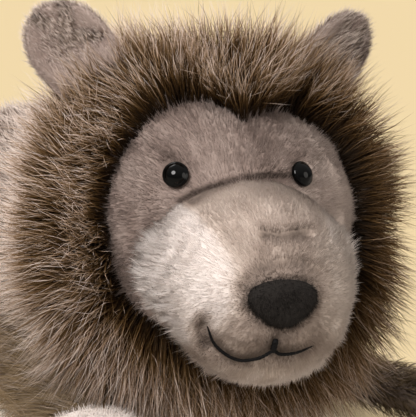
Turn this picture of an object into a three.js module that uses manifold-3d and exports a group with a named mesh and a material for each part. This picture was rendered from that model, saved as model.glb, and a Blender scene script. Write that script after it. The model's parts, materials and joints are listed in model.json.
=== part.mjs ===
// A plush wolf lying on its belly with its head up, in millimetres.
// +Z is up, the wolf faces -Y and its right side is -X.
// The origin is the middle of the flat on which the belly rests.

import * as THREE from 'three';
import { mergeVertices } from 'three/addons/utils/BufferGeometryUtils.js';
import Module from 'manifold-3d';

const wasm = await Module();
wasm.setup();

// Cloth, clearances and facets
const CLEARANCE = 0.3;
const SEAM_PLAY = 0.5;
const SWING_STEPS = 6;
const BODY_CLOTH = 9;
const LEG_CLOTH = 5;
const TAIL_CLOTH = 8;
const FACE_CLOTH = 4;
const GUSSET_CLOTH = 2;
const FLAT_DEPTH = 0.5;
const LIMB_SIDES = 10;
const LIMB_RINGS = 8;
const BODY_SIDES = 16;
const BODY_RINGS = 10;
const HEAD_SIDES = 16;
const HEAD_RINGS = 11;
const NECK_SIDES = 24;
const NECK_RINGS = 16;
const MERGE_DISTANCE = 1e-4;

// The body: half widths, half heights and heights of the underside, at even steps from the neck to the rump
const BODY = {
  length: 280,
  halfWidths: [58, 73, 78, 81, 79, 64],
  halfHeights: [54, 60, 61.5, 62, 60.5, 53],
  undersides: [36, 13, 1, 0, 1, 4],
  startCap: 0.2,
  endCap: 0.36,
};
const BODY_FRONT = -160;
const BODY_REAR = BODY_FRONT + BODY.length;

// The neck: a ball on the front of the body, on which the head turns and nods
const NECK = new THREE.Vector3(0, -163, 99);
const NECK_RADIUS = 50;
const NECK_PLAY = 0.95;
const NECK_OPENING_RADIUS = 26;
const GUSSET_START = THREE.MathUtils.degToRad(36);
const GUSSET_END = THREE.MathUtils.degToRad(64);
const GUSSET_STEPS = 4;

// The head, measured from the middle of the skull
const HEAD = new THREE.Vector3(0, -225, 108);
const SKULL = new THREE.Vector3(67, 58, 62);
const MANE = new THREE.Vector3(87, 78, 79);
const MANE_CENTRE = new THREE.Vector3(0, 0, 8);
const MANE_REAR = 50;
const MASK_EDGE = -22;
const MUZZLE = new THREE.Vector3(52, 41, 48.5);
const MUZZLE_CENTRE = new THREE.Vector3(0, -55, -20);

// The eyes: glossy domes on a shank, each held by a washer behind the cloth
const EYE_RADIUS = 6;
const EYE_DOME = 4.5;
const EYE_SPACING = 60;
const EYE_MIDDLE = -2;
const EYE_HEIGHT = 29;
const EYE_SEAT = 0.7;
const SHANK_RADIUS = 2.2;
const SHANK_LENGTH = 10;
const WASHER_RADIUS = 7;
const WASHER_THICKNESS = 1.6;
const WASHER_SEAT = 1.8;
const EYE_SEGMENTS = 14;
const DOME_STEPS = 4;

// The nose and the stitched mouth on the muzzle
const NOSE_WIDTH = 32;
const NOSE_HEIGHT = 21;
const NOSE_RISE = 3;
const NOSE_PROUD = 3.5;
const NOSE_BEVEL = 2.2;
const NOSE_TAPER = 0.38;
const NOSE_POINTS = 24;
const NOSE_BEVEL_STEPS = 2;
const THREAD_RADIUS = 1;
const THREAD_SIDES = 3;
const THREAD_STEPS = 28;
const LIP_STEPS = 2;
const MOUTH_RIGHT = [[-30, -28.5], [-26.5, -35.5], [-21, -40.5], [-14.5, -43.5], [-7, -42.3]];
const MOUTH_LEFT = [[8.5, -40], [17, -38.5]];
const MOUTH_JOIN = [0, -39.5];
const LIP_TOP = [0, -29.5];

// The ears
const EAR = new THREE.Vector3(22, 9, 24);
const EAR_CUP = new THREE.Vector3(16.5, 6, 18);
const EAR_DIRECTION = new THREE.Vector3(0.651, 0.075, 0.755).normalize();
const EAR_BASE = 87;
const EAR_LIFT = 13;
const EAR_TURN = THREE.MathUtils.degToRad(28);
const EAR_RANGE = [-18, 18];

// The limbs and the tail: what they measure from the root to the tip, and how they lie
const FORELEG = {
  length: 238,
  halfWidths: [27, 26, 24, 23, 25, 24],
  halfHeights: [27, 20.5, 15, 14.5, 15.5, 15],
  startCap: 0.16,
  endCap: 0.14,
};
const FORELEG_PIVOT = new THREE.Vector3(56, -90, 34);
const FORELEG_ROOT = 20;
const FORELEG_SPLAYS = {
  right: THREE.MathUtils.degToRad(2),
  left: THREE.MathUtils.degToRad(26),
};
const FORELEG_RANGES = { right: [-4, 30], left: [-28, 10] };
const HINDLEG = {
  length: 152,
  halfWidths: [33, 34, 30, 26, 26, 24],
  halfHeights: [33, 34, 28, 23, 21, 20],
  startCap: 0.25,
  endCap: 0.2,
};
const HINDLEG_FROM_REAR = 64;
const HINDLEG_PIVOT = new THREE.Vector3(54, BODY_REAR - HINDLEG_FROM_REAR, 36);
const HINDLEG_ROOT = 26;
const HINDLEG_SPLAY = THREE.MathUtils.degToRad(142);
const HINDLEG_RANGE = [-20, 8];
const PAW_LENGTH = 46;
const TAIL = {
  length: 165,
  halfWidths: [13, 20, 26, 27, 23, 15],
  halfHeights: [13, 19, 24, 25, 21, 14],
  startCap: 0.12,
  endCap: 0.3,
};
const TAIL_FROM_REAR = 14;
const TAIL_PIVOT = new THREE.Vector3(0, BODY_REAR - TAIL_FROM_REAR, 66);
const TAIL_ROOT = 12;
const TAIL_SLOPE = THREE.MathUtils.degToRad(13);
const TAIL_RANGE = [-25, 25];

const UP = new THREE.Vector3(0, 0, 1);
const FORWARD = new THREE.Vector3(0, -1, 0);
const CUTTER_SIZE = 1200;

const FINISHES = {
  longPile: { color: 0x9c8468, roughness: 0.95, metalness: 0 },
  shortPile: { color: 0xa28a6c, roughness: 0.95, metalness: 0 },
  cream: { color: 0xe9ddc8, roughness: 0.95, metalness: 0 },
  lining: { color: 0x7a5f47, roughness: 0.95, metalness: 0 },
  stuffing: { color: 0xf4f2ec, roughness: 1, metalness: 0 },
  felt: { color: 0x2b2a2c, roughness: 0.85, metalness: 0 },
  thread: { color: 0x1c1a1a, roughness: 0.8, metalness: 0 },
  bead: { color: 0x0b0908, roughness: 0.08, metalness: 0 },
  plastic: { color: 0xdedede, roughness: 0.5, metalness: 0 },
};

/** A closed solid from a geometry: shared corners merged, flat triangles dropped. */
function solidOf(geometry) {
  const bare = new THREE.BufferGeometry();
  bare.setAttribute('position', geometry.getAttribute('position'));
  bare.setIndex(geometry.getIndex());
  const merged = mergeVertices(bare, MERGE_DISTANCE);
  const corners = merged.getIndex().array;
  const kept = [];
  for (let i = 0; i < corners.length; i += 3) {
    const [a, b, c] = corners.slice(i, i + 3);
    if (a !== b && b !== c && c !== a) kept.push(a, b, c);
  }
  return new wasm.Manifold(new wasm.Mesh({
    numProp: 3,
    vertProperties: new Float32Array(merged.getAttribute('position').array),
    triVerts: new Uint32Array(kept),
  }));
}

/** A named mesh from a solid, with its finish. */
function meshOf(name, solid, finish) {
  const { vertProperties, triVerts } = solid.getMesh();
  const geometry = new THREE.BufferGeometry();
  geometry.setAttribute('position', new THREE.BufferAttribute(vertProperties, 3));
  geometry.setIndex(new THREE.BufferAttribute(triVerts, 1));
  geometry.computeVertexNormals();
  const mesh = new THREE.Mesh(geometry, new THREE.MeshStandardMaterial(finish));
  mesh.name = name;
  return mesh;
}

/** The value at share s of the way along a list of evenly spaced values, on a smooth curve through them. */
function between(values, s) {
  return new THREE.SplineCurve(values.map((value) => new THREE.Vector2(value, 0))).getPoint(s).x;
}

/** 0 at both ends and 1 between the caps: the outline of an elliptic cap at each end. */
function roundedEnds(s, startCap, endCap) {
  const start = Math.max(0, 1 - s / startCap);
  const end = Math.max(0, 1 - (1 - s) / endCap);
  return Math.sqrt((1 - start * start) * (1 - end * end));
}

/**
 * A stuffed form along +Y from y = 0: elliptic rings that swell and taper, closed by a pole at each end.
 * Each ring has a facet below, which sinks by the depth of the flat where the form lies on the floor.
 * Grow moves the whole surface out, or in where it is negative.
 */
function stuffedForm(form, grow, sides, rings) {
  const positions = [];
  const index = [];
  const facetDrop = Math.cos(Math.PI / sides);
  const axisHeights = form.halfHeights.map((half, i) => (
    form.undersides ? form.undersides[i] + half * facetDrop - FLAT_DEPTH : 0
  ));
  const axisHeight = (s) => between(axisHeights, s);
  const along = (s) => s * (form.length + 2 * grow) - grow;
  positions.push(0, along(0), axisHeight(0));
  for (let ring = 1; ring < rings; ring += 1) {
    const s = (1 - Math.cos((Math.PI * ring) / rings)) / 2;
    const cap = roundedEnds(s, form.startCap, form.endCap);
    const halfWidth = (between(form.halfWidths, s) + grow) * cap;
    const halfHeight = (between(form.halfHeights, s) + grow) * cap;
    for (let side = 0; side < sides; side += 1) {
      const angle = (2 * Math.PI * (side + 0.5)) / sides - Math.PI / 2;
      const x = halfWidth * Math.cos(angle);
      const z = axisHeight(s) + halfHeight * Math.sin(angle);
      positions.push(x, along(s), z);
    }
  }
  positions.push(0, along(1), axisHeight(1));
  const last = positions.length / 3 - 1;
  for (let side = 0; side < sides; side += 1) {
    const next = (side + 1) % sides;
    index.push(0, 1 + side, 1 + next);
    for (let ring = 0; ring < rings - 2; ring += 1) {
      const near = 1 + ring * sides;
      const far = near + sides;
      index.push(near + side, far + side, near + next);
      index.push(near + next, far + side, far + next);
    }
    const edge = last - sides;
    index.push(last, edge + next, edge + side);
  }
  const geometry = new THREE.BufferGeometry();
  geometry.setAttribute('position', new THREE.Float32BufferAttribute(positions, 3));
  geometry.setIndex(index);
  return geometry;
}

/** An ellipsoid with its poles on the Y axis, grown by a distance. */
function ellipsoid(halves, centre, grow = 0, sides = HEAD_SIDES, rings = HEAD_RINGS) {
  const geometry = new THREE.SphereGeometry(1, sides, rings);
  geometry.scale(halves.x + grow, halves.y + grow, halves.z + grow);
  geometry.translate(centre.x, centre.y, centre.z);
  return geometry;
}

/** A ball about a point, with the fine facets on which the neck turns. */
function neckBall(radius, centre) {
  return ellipsoid(new THREE.Vector3(radius, radius, radius), centre, 0, NECK_SIDES, NECK_RINGS);
}

/** The half space on the far side of a plane square to a row axis, as a large block. */
function halfSpace(axis, offset, towards) {
  const geometry = new THREE.BoxGeometry(CUTTER_SIZE, CUTTER_SIZE, CUTTER_SIZE);
  const middle = new THREE.Vector3();
  middle[axis] = offset + (towards * CUTTER_SIZE) / 2;
  geometry.translate(middle.x, middle.y, middle.z);
  return solidOf(geometry);
}

/** A round bar along +Y between two heights. */
function bar(radius, from, to, segments) {
  const geometry = new THREE.CylinderGeometry(radius, radius, to - from, segments);
  geometry.translate(0, (from + to) / 2, 0);
  return geometry;
}

/** A turned piece about the Y axis, from outline points of radius and height. */
function turned(outline, segments) {
  const points = outline.map(([radius, height]) => new THREE.Vector2(radius, height));
  return new THREE.LatheGeometry(points, segments);
}

/** The body with its neck ball, grown by a distance, in the frame of the whole wolf. */
function bodyGeometries(grow) {
  const trunk = stuffedForm(BODY, grow, BODY_SIDES, BODY_RINGS);
  trunk.translate(0, BODY_FRONT, 0);
  return [trunk, neckBall(NECK_RADIUS + grow, NECK)];
}

function bodySolid(grow, matrix = new THREE.Matrix4()) {
  const [trunk, neck] = bodyGeometries(grow).map((geometry) => solidOf(geometry.applyMatrix4(matrix)));
  return trunk.add(neck);
}

/** What is left of a solid in a group's frame once a neighbour has swung past it through a range. */
function clearOf(solid, group, neighbour, axis, range) {
  const pivot = group.position;
  const toGroup = group.matrix.clone().invert();
  const [lowest, highest] = range;
  const angles = Array.from({ length: SWING_STEPS + 1 }, (_, i) => (
    THREE.MathUtils.lerp(lowest, highest, i / SWING_STEPS)
  ));
  return angles.reduce((left, degrees) => {
    const swing = new THREE.Matrix4().makeTranslation(pivot.x, pivot.y, pivot.z);
    swing.multiply(new THREE.Matrix4().makeRotationAxis(axis, -THREE.MathUtils.degToRad(degrees)));
    swing.multiply(new THREE.Matrix4().makeTranslation(-pivot.x, -pivot.y, -pivot.z));
    return left.subtract(neighbour(toGroup.clone().multiply(swing)));
  }, solid);
}

function makeBody(wolf) {
  const floor = halfSpace('z', 0, -1);
  const opening = bar(NECK_OPENING_RADIUS, -NECK_RADIUS - BODY_CLOTH, 0, BODY_SIDES);
  opening.translate(NECK.x, NECK.y, NECK.z);
  const skin = bodySolid(0).subtract(bodySolid(-BODY_CLOTH)).subtract(solidOf(opening)).subtract(floor);
  wolf.add(meshOf('body_skin', skin, FINISHES.longPile));
  wolf.add(meshOf('body_stuffing', bodySolid(-BODY_CLOTH - CLEARANCE), FINISHES.stuffing));
}

/** The cloth band sewn between the neck ball and the head. */
function makeGusset(wolf) {
  const inner = NECK_RADIUS + NECK_PLAY;
  const outer = inner + GUSSET_CLOTH;
  const steps = Array.from({ length: GUSSET_STEPS + 1 }, (_, i) => i / GUSSET_STEPS);
  const arc = (radius, s) => {
    const angle = THREE.MathUtils.lerp(GUSSET_START, GUSSET_END, s);
    return [radius * Math.sin(angle), -radius * Math.cos(angle)];
  };
  const outline = steps.map((s) => arc(outer, s)).concat(steps.map((s) => arc(inner, 1 - s)));
  const band = turned([...outline, outline[0]], NECK_SIDES);
  band.translate(NECK.x, NECK.y, NECK.z);
  wolf.add(meshOf('neck_gusset', solidOf(band), FINISHES.lining));
}

/** A point on the muzzle above its x and z, a distance out from the surface, in the head's frame. */
function onMuzzle([x, z], out) {
  const halves = MUZZLE.clone().addScalar(out);
  const share = 1 - (x / halves.x) ** 2 - ((z - MUZZLE_CENTRE.z) / halves.z) ** 2;
  return new THREE.Vector3(x, MUZZLE_CENTRE.y - halves.y * Math.sqrt(share), z);
}

/** A round thread that lies on the muzzle through some points. */
function thread(points, steps) {
  const path = new THREE.CatmullRomCurve3(points.map((point) => onMuzzle(point, THREAD_RADIUS + CLEARANCE)));
  const section = new THREE.Shape();
  section.absarc(0, 0, THREAD_RADIUS, 0, 2 * Math.PI);
  const geometry = new THREE.ExtrudeGeometry(section, {
    steps,
    curveSegments: THREAD_SIDES,
    extrudePath: path,
  });
  return solidOf(geometry);
}

/** The outline of the nose, inside its bevel: an oval that is broader above than below by the taper. */
function noseOutline() {
  const angles = Array.from({ length: NOSE_POINTS }, (_, i) => (2 * Math.PI * i) / NOSE_POINTS);
  const breadth = (angle) => Math.cos(angle) * (1 + NOSE_TAPER * Math.sin(angle));
  const broadest = Math.max(...angles.map(breadth));
  const halfWidth = NOSE_WIDTH / 2 - NOSE_BEVEL;
  const halfHeight = NOSE_HEIGHT / 2 - NOSE_BEVEL;
  return new THREE.Shape(angles.map((angle) => new THREE.Vector2(
    (halfWidth * breadth(angle)) / broadest,
    halfHeight * Math.sin(angle),
  )));
}

function makeNose() {
  const depth = MUZZLE.y / 2;
  const geometry = new THREE.ExtrudeGeometry(noseOutline(), {
    depth,
    bevelSize: NOSE_BEVEL,
    bevelThickness: NOSE_BEVEL,
    bevelSegments: NOSE_BEVEL_STEPS,
  });
  geometry.rotateX(Math.PI / 2);
  const front = MUZZLE_CENTRE.y - MUZZLE.y - NOSE_PROUD + NOSE_BEVEL;
  geometry.translate(0, front + depth, MUZZLE_CENTRE.z + NOSE_RISE);
  return solidOf(geometry).subtract(solidOf(ellipsoid(MUZZLE, MUZZLE_CENTRE, CLEARANCE)));
}

/** A group on the skull's surface whose +Y axis points straight out of it. */
function eyeGroup(sign) {
  const x = EYE_MIDDLE + (sign * EYE_SPACING) / 2;
  const share = 1 - (x / SKULL.x) ** 2 - (EYE_HEIGHT / SKULL.z) ** 2;
  const group = new THREE.Group();
  group.position.set(x, -SKULL.y * Math.sqrt(share), EYE_HEIGHT);
  const outward = group.position.clone().divide(SKULL).divide(SKULL).normalize();
  group.quaternion.setFromUnitVectors(new THREE.Vector3(0, 1, 0), outward);
  group.updateMatrix();
  return group;
}

function makeEye(group, side) {
  const dome = Array.from({ length: DOME_STEPS + 1 }, (_, i) => {
    const angle = (Math.PI / 2) * (1 - i / DOME_STEPS);
    return [EYE_RADIUS * Math.cos(angle), EYE_SEAT + EYE_DOME * Math.sin(angle)];
  });
  dome[0][0] = 0;
  const shank = [[SHANK_RADIUS, EYE_SEAT], [SHANK_RADIUS, -SHANK_LENGTH], [0, -SHANK_LENGTH]];
  const eye = turned([...dome, ...shank].reverse(), EYE_SEGMENTS);
  group.add(meshOf(`${side}_eye`, solidOf(eye), FINISHES.bead));
  const washerTop = -FACE_CLOTH - WASHER_SEAT;
  const washerBottom = washerTop - WASHER_THICKNESS;
  const bore = SHANK_RADIUS + CLEARANCE;
  const ring = [
    [bore, washerBottom],
    [WASHER_RADIUS, washerBottom],
    [WASHER_RADIUS, washerTop],
    [bore, washerTop],
  ];
  const washer = turned([...ring, ring[0]], EYE_SEGMENTS);
  group.add(meshOf(`${side}_eye_washer`, solidOf(washer), FINISHES.plastic));
}

/** The room that an eye's shank and washer take in the cloth and the stuffing, in the head's frame. */
function eyeRoom(group) {
  const hole = bar(SHANK_RADIUS + CLEARANCE, -SHANK_LENGTH - CLEARANCE, EYE_DOME, EYE_SEGMENTS);
  const pocketBottom = -FACE_CLOTH - WASHER_SEAT - WASHER_THICKNESS - CLEARANCE;
  const pocket = bar(WASHER_RADIUS + CLEARANCE, pocketBottom, -FACE_CLOTH / 2, EYE_SEGMENTS);
  return {
    hole: solidOf(hole.applyMatrix4(group.matrix)),
    pocket: solidOf(pocket.applyMatrix4(group.matrix)),
  };
}

function makeHead(wolf) {
  const head = new THREE.Group();
  head.position.copy(HEAD);
  head.updateMatrix();
  const middle = new THREE.Vector3();
  const neckRoom = solidOf(neckBall(NECK_RADIUS + GUSSET_CLOTH + 2 * NECK_PLAY, NECK.clone().sub(HEAD)));
  const eyes = [['right', -1], ['left', 1]].map(([side, sign]) => [side, eyeGroup(sign)]);
  const rooms = eyes.map(([, group]) => eyeRoom(group));
  const skull = (grow) => solidOf(ellipsoid(SKULL, middle, grow));
  const muzzle = (grow) => solidOf(ellipsoid(MUZZLE, MUZZLE_CENTRE, grow));
  const withoutHoles = (solid) => rooms.reduce((left, { hole }) => left.subtract(hole), solid);

  const behindMask = halfSpace('y', MASK_EDGE - CLEARANCE / 2, 1);
  const beforeMane = halfSpace('y', MASK_EDGE + CLEARANCE / 2, -1);
  const behindMane = halfSpace('y', MANE_REAR, 1);
  const mane = solidOf(ellipsoid(MANE, MANE_CENTRE)).subtract(skull(-FACE_CLOTH)).subtract(beforeMane);
  const collar = mane.subtract(behindMane).subtract(muzzle(CLEARANCE)).subtract(neckRoom);
  head.add(meshOf('mane_skin', collar, FINISHES.longPile));

  const mask = skull(0).subtract(skull(-FACE_CLOTH)).subtract(behindMask).subtract(muzzle(-FACE_CLOTH));
  head.add(meshOf('face_panel', withoutHoles(mask), FINISHES.shortPile));

  const cheek = muzzle(0).subtract(muzzle(-FACE_CLOTH)).subtract(skull(CLEARANCE));
  head.add(meshOf('muzzle_panel', cheek, FINISHES.cream));

  const core = skull(-FACE_CLOTH - CLEARANCE).add(muzzle(-FACE_CLOTH - CLEARANCE)).subtract(neckRoom);
  const pocketed = rooms.reduce((left, { pocket }) => left.subtract(pocket), withoutHoles(core));
  head.add(meshOf('head_stuffing', pocketed, FINISHES.stuffing));

  head.add(meshOf('nose', makeNose(), FINISHES.felt));
  const mouth = thread([...MOUTH_RIGHT, MOUTH_JOIN, ...MOUTH_LEFT], THREAD_STEPS);
  const lip = thread([LIP_TOP, MOUTH_JOIN], LIP_STEPS);
  head.add(meshOf('mouth_thread', mouth.add(lip), FINISHES.thread));
  eyes.forEach(([side, group]) => {
    makeEye(group, side);
    head.add(group);
  });
  wolf.add(head);
}

/** An ear: a rounded back and a cupped lining, standing on the mane and folding about its base. */
function makeEar(wolf, side, sign) {
  const upward = EAR_DIRECTION.clone().multiply(new THREE.Vector3(sign, 1, 1));
  const facing = FORWARD.clone().applyAxisAngle(UP, sign * EAR_TURN);
  const across = new THREE.Vector3().crossVectors(upward, facing).normalize();
  const backward = new THREE.Vector3().crossVectors(upward, across).normalize();
  const group = new THREE.Group();
  group.position.copy(upward).multiplyScalar(EAR_BASE).add(HEAD);
  group.quaternion.setFromRotationMatrix(new THREE.Matrix4().makeBasis(across, backward, upward));
  group.updateMatrix();
  const middle = new THREE.Vector3(0, 0, EAR_LIFT);
  const cup = new THREE.Vector3(0, -EAR.y, EAR_LIFT + (EAR.z - EAR_CUP.z) / 2);
  const whole = solidOf(ellipsoid(EAR, middle, 0, LIMB_SIDES, LIMB_RINGS));
  const hollow = solidOf(ellipsoid(EAR_CUP, cup, 0, LIMB_SIDES, LIMB_RINGS));
  const maneMiddle = HEAD.clone().add(MANE_CENTRE);
  const mane = (matrix) => solidOf(ellipsoid(MANE, maneMiddle, SEAM_PLAY).applyMatrix4(matrix));
  const seated = clearOf(whole, group, mane, across, EAR_RANGE);
  const back = seated.subtract(halfSpace('y', CLEARANCE / 2, -1));
  const lining = seated.subtract(halfSpace('y', -CLEARANCE / 2, 1)).subtract(hollow);
  group.add(meshOf(`${side}_ear_back`, back, FINISHES.longPile));
  group.add(meshOf(`${side}_ear_lining`, lining, FINISHES.lining));
  wolf.add(group);
}

/** A stuffed limb from a pivot on the body: its skin, its stuffing and, on a leg, a cream paw at its tip. */
function makeLimb(wolf, name, form, { pivot, root, turn, slope, range, cloth, paw }) {
  const group = new THREE.Group();
  group.position.copy(pivot);
  group.rotation.set(-slope, 0, turn, 'ZXY');
  group.updateMatrix();
  const formAt = (grow) => {
    const geometry = stuffedForm(form, grow, LIMB_SIDES, LIMB_RINGS);
    geometry.translate(0, -root, 0);
    return solidOf(geometry);
  };
  const seated = (solid) => {
    const clear = clearOf(solid, group, (matrix) => bodySolid(SEAM_PLAY, matrix), UP, range);
    return form.undersides ? clear.subtract(halfSpace('z', -pivot.z, -1)) : clear;
  };
  const skin = seated(formAt(0).subtract(formAt(-cloth)));
  const pawLine = form.length - root - PAW_LENGTH;
  if (paw) {
    const sleeve = skin.subtract(halfSpace('y', pawLine - CLEARANCE / 2, 1));
    const toe = skin.subtract(halfSpace('y', pawLine + CLEARANCE / 2, -1));
    group.add(meshOf(`${name}_skin`, sleeve, FINISHES.longPile));
    group.add(meshOf(paw, toe, FINISHES.cream));
  } else {
    group.add(meshOf(`${name}_skin`, skin, FINISHES.longPile));
  }
  group.add(meshOf(`${name}_stuffing`, seated(formAt(-cloth - CLEARANCE)), FINISHES.stuffing));
  wolf.add(group);
}

/** A leg's form with its underside on the floor, seen from a pivot. */
function lyingForm(form, pivot) {
  return { ...form, undersides: form.halfHeights.map(() => -pivot.z) };
}

function makeLegs(wolf, side, sign) {
  const mirrored = (pivot) => pivot.clone().multiply(new THREE.Vector3(sign, 1, 1));
  const swing = ([inward, outward]) => (sign > 0 ? [inward, outward] : [-outward, -inward]);
  makeLimb(wolf, `${side}_foreleg`, lyingForm(FORELEG, FORELEG_PIVOT), {
    pivot: mirrored(FORELEG_PIVOT),
    root: FORELEG_ROOT,
    turn: Math.PI + sign * FORELEG_SPLAYS[side],
    slope: 0,
    range: swing(FORELEG_RANGES[side]),
    cloth: LEG_CLOTH,
    paw: `${side}_forepaw`,
  });
  makeLimb(wolf, `${side}_hindleg`, lyingForm(HINDLEG, HINDLEG_PIVOT), {
    pivot: mirrored(HINDLEG_PIVOT),
    root: HINDLEG_ROOT,
    turn: Math.PI + sign * HINDLEG_SPLAY,
    slope: 0,
    range: swing(HINDLEG_RANGE),
    cloth: LEG_CLOTH,
    paw: `${side}_hindpaw`,
  });
}

const wolf = new THREE.Group();
makeBody(wolf);
makeGusset(wolf);
makeHead(wolf);
[['right', -1], ['left', 1]].forEach(([side, sign]) => {
  makeEar(wolf, side, sign);
  makeLegs(wolf, side, sign);
});
makeLimb(wolf, 'tail', TAIL, {
  pivot: TAIL_PIVOT,
  root: TAIL_ROOT,
  turn: 0,
  slope: TAIL_SLOPE,
  range: TAIL_RANGE,
  cloth: TAIL_CLOTH,
});

export default wolf;
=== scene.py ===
# %% [markdown]
# # A plush wolf, dressed in fur
#
# The toy is a set of stuffed cloth forms, and what the eye sees is the pile on them: short and clipped on
# the face, long and wild round the head. Blender's own hair isn't a mesh, so each hair here is a thin closed
# spike that numpy works out, thousands at a time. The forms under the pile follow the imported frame.

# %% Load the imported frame
import json
from collections import namedtuple

import bpy
import numpy as np
from mathutils import Matrix


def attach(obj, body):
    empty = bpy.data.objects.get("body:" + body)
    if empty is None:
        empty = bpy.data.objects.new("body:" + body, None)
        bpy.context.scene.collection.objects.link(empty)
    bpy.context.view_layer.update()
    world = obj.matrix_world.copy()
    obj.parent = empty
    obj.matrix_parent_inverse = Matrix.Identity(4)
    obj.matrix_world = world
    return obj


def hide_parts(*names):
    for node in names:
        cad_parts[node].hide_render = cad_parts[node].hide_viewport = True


MM = 0.001
SIDES = {"right": -1, "left": 1}
UPWARD = np.array([0.0, 0.0, 1.0])
BACKWARD = np.array([0.0, 1.0, 0.0])
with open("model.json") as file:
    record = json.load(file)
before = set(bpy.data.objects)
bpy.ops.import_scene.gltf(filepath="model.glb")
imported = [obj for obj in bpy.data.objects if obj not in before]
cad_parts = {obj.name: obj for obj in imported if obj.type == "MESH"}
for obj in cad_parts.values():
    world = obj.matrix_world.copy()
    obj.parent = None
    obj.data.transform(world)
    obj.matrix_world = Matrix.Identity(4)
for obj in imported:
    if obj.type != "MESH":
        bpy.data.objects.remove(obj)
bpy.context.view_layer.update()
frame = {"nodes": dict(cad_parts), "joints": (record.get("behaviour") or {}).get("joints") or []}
pivots = {joint["name"]: np.array(joint["pos_m"]) / MM for joint in frame["joints"]}
scene = bpy.context.scene
scene.view_settings.view_transform = "Standard"

# %% [markdown]
# ## The camera
#
# The picture was taken with a long lens from a little above the head, with the camera turned to the wolf's
# right and tilted by a few degrees. A long lens keeps the muzzle from looking too big, so the distance and
# the focal length are given together. The aim is a point close to the middle of the skull.

# %% Camera
HEAD = np.array([0.0, -225.0, 108.0])
AZIMUTH, ELEVATION, ROLL = np.radians([-22.0, 12.0, 3.7])
CAMERA_DISTANCE = 1000.0
LENS, SENSOR = 185.7, 36.0
AIM_RIGHT, AIM_UP = 1.86, 3.5


def unit(vectors):
    """Each vector divided by its own length."""
    return vectors / np.linalg.norm(vectors, axis=-1, keepdims=True)


def camera_axes():
    """The picture's right and up and the way back to the camera: the turn, the tilt, then the roll."""
    back = np.array([
        np.sin(AZIMUTH) * np.cos(ELEVATION),
        -np.cos(AZIMUTH) * np.cos(ELEVATION),
        np.sin(ELEVATION),
    ])
    level = np.array([np.cos(AZIMUTH), np.sin(AZIMUTH), 0.0])
    upright = np.cross(back, level)
    right = level * np.cos(ROLL) + upright * np.sin(ROLL)
    return right, np.cross(back, right), back


def place_facing(obj, place, right, up, back):
    """Puts a camera or a lamp at a place in millimetres, looking against back."""
    axes = Matrix(np.stack([right, up, back], axis=1).tolist()).to_4x4()
    obj.matrix_world = Matrix.Translation(place * MM) @ axes


right, up, back = camera_axes()
lens = bpy.data.cameras.new("photo_camera")
lens.lens = LENS
lens.sensor_width = SENSOR
lens.sensor_fit = "HORIZONTAL"
camera = bpy.data.objects.new("photo_camera", lens)
scene.collection.objects.link(camera)
aim = HEAD + AIM_RIGHT * right + AIM_UP * up
place_facing(camera, aim + CAMERA_DISTANCE * back, right, up, back)
scene.camera = camera
print("camera at", np.round(aim + CAMERA_DISTANCE * back), "mm")

# %% [markdown]
# ## Light and floor
#
# A wide lamp from the upper left lights the near cheek and puts the small highlight on the eyes. A lamp above
# and behind lights the tips of the mane and the back, and a dim one on the other side keeps the far cheek
# readable. The sky is strongest overhead, so the bead eyes stay black. The floor is a pale warm oval that
# keeps the wolf's shadow near it and fades to the plain colour of the backdrop, so no horizon shows.

# %% Lamps, sky and floor
BACKDROP = (0.89, 0.70, 0.41, 1.0)
FLOOR_COLOUR = (0.86, 0.78, 0.68, 1.0)
SKY_COLOUR = (1.0, 0.96, 0.93, 1.0)
SKY_HEIGHTS, SKY_STRENGTHS = (-0.2, 1.0), (0.05, 0.55)
FLOOR_RADIUS, FLOOR_SIDES = 2600.0, 96
FLOOR_MIDDLE = np.array([0.0, -60.0, 0.0])
FLOOR_STRETCH = np.array([1.7, 0.75, 1.0])
FLOOR_FADE = np.array([140.0, 290.0])
FLOOR_GLOW = 0.62


def lamp(name, offset, size, power, colour):
    """A round area lamp at an offset from the head, in millimetres, facing the head."""
    data = bpy.data.lights.new(name, "AREA")
    data.shape = "DISK"
    data.size = size * MM
    data.energy = power
    data.color = colour
    obj = bpy.data.objects.new(name, data)
    scene.collection.objects.link(obj)
    away = unit(np.array(offset))
    side = unit(np.cross(UPWARD, away))
    place_facing(obj, HEAD + offset, side, np.cross(away, side), away)


def feed(tree, target, inputs):
    """Gives each named input of a shader node a value, or links it to the output of another node."""
    for name, value in inputs.items():
        if isinstance(value, bpy.types.NodeSocket):
            tree.links.new(value, target.inputs[name])
        else:
            target.inputs[name].default_value = value


def node(tree, kind, inputs=None, **settings):
    """A new shader node of some kind, with its settings and its inputs."""
    made = tree.nodes.new(kind)
    for name, value in settings.items():
        setattr(made, name, value)
    feed(tree, made, inputs or {})
    return made


def empty_tree(owner):
    """The node tree of a new world or material, with nothing in it."""
    owner.use_nodes = True
    owner.node_tree.nodes.clear()
    return owner.node_tree


def mapped(tree, value, start, end, **settings):
    """A value mapped from one range to another, kept within the second."""
    inputs = {"Value": value, "From Min": start[0], "From Max": start[1], "To Min": end[0], "To Max": end[1]}
    return node(tree, "ShaderNodeMapRange", inputs, **settings).outputs["Result"]


def seen_as(tree, lit, seen):
    """One shader for the light that reaches the wolf, and another for what the camera sees."""
    path = node(tree, "ShaderNodeLightPath")
    inputs = {"Fac": path.outputs["Is Camera Ray"], 1: lit, 2: seen}
    return node(tree, "ShaderNodeMixShader", inputs).outputs["Shader"]


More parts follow.
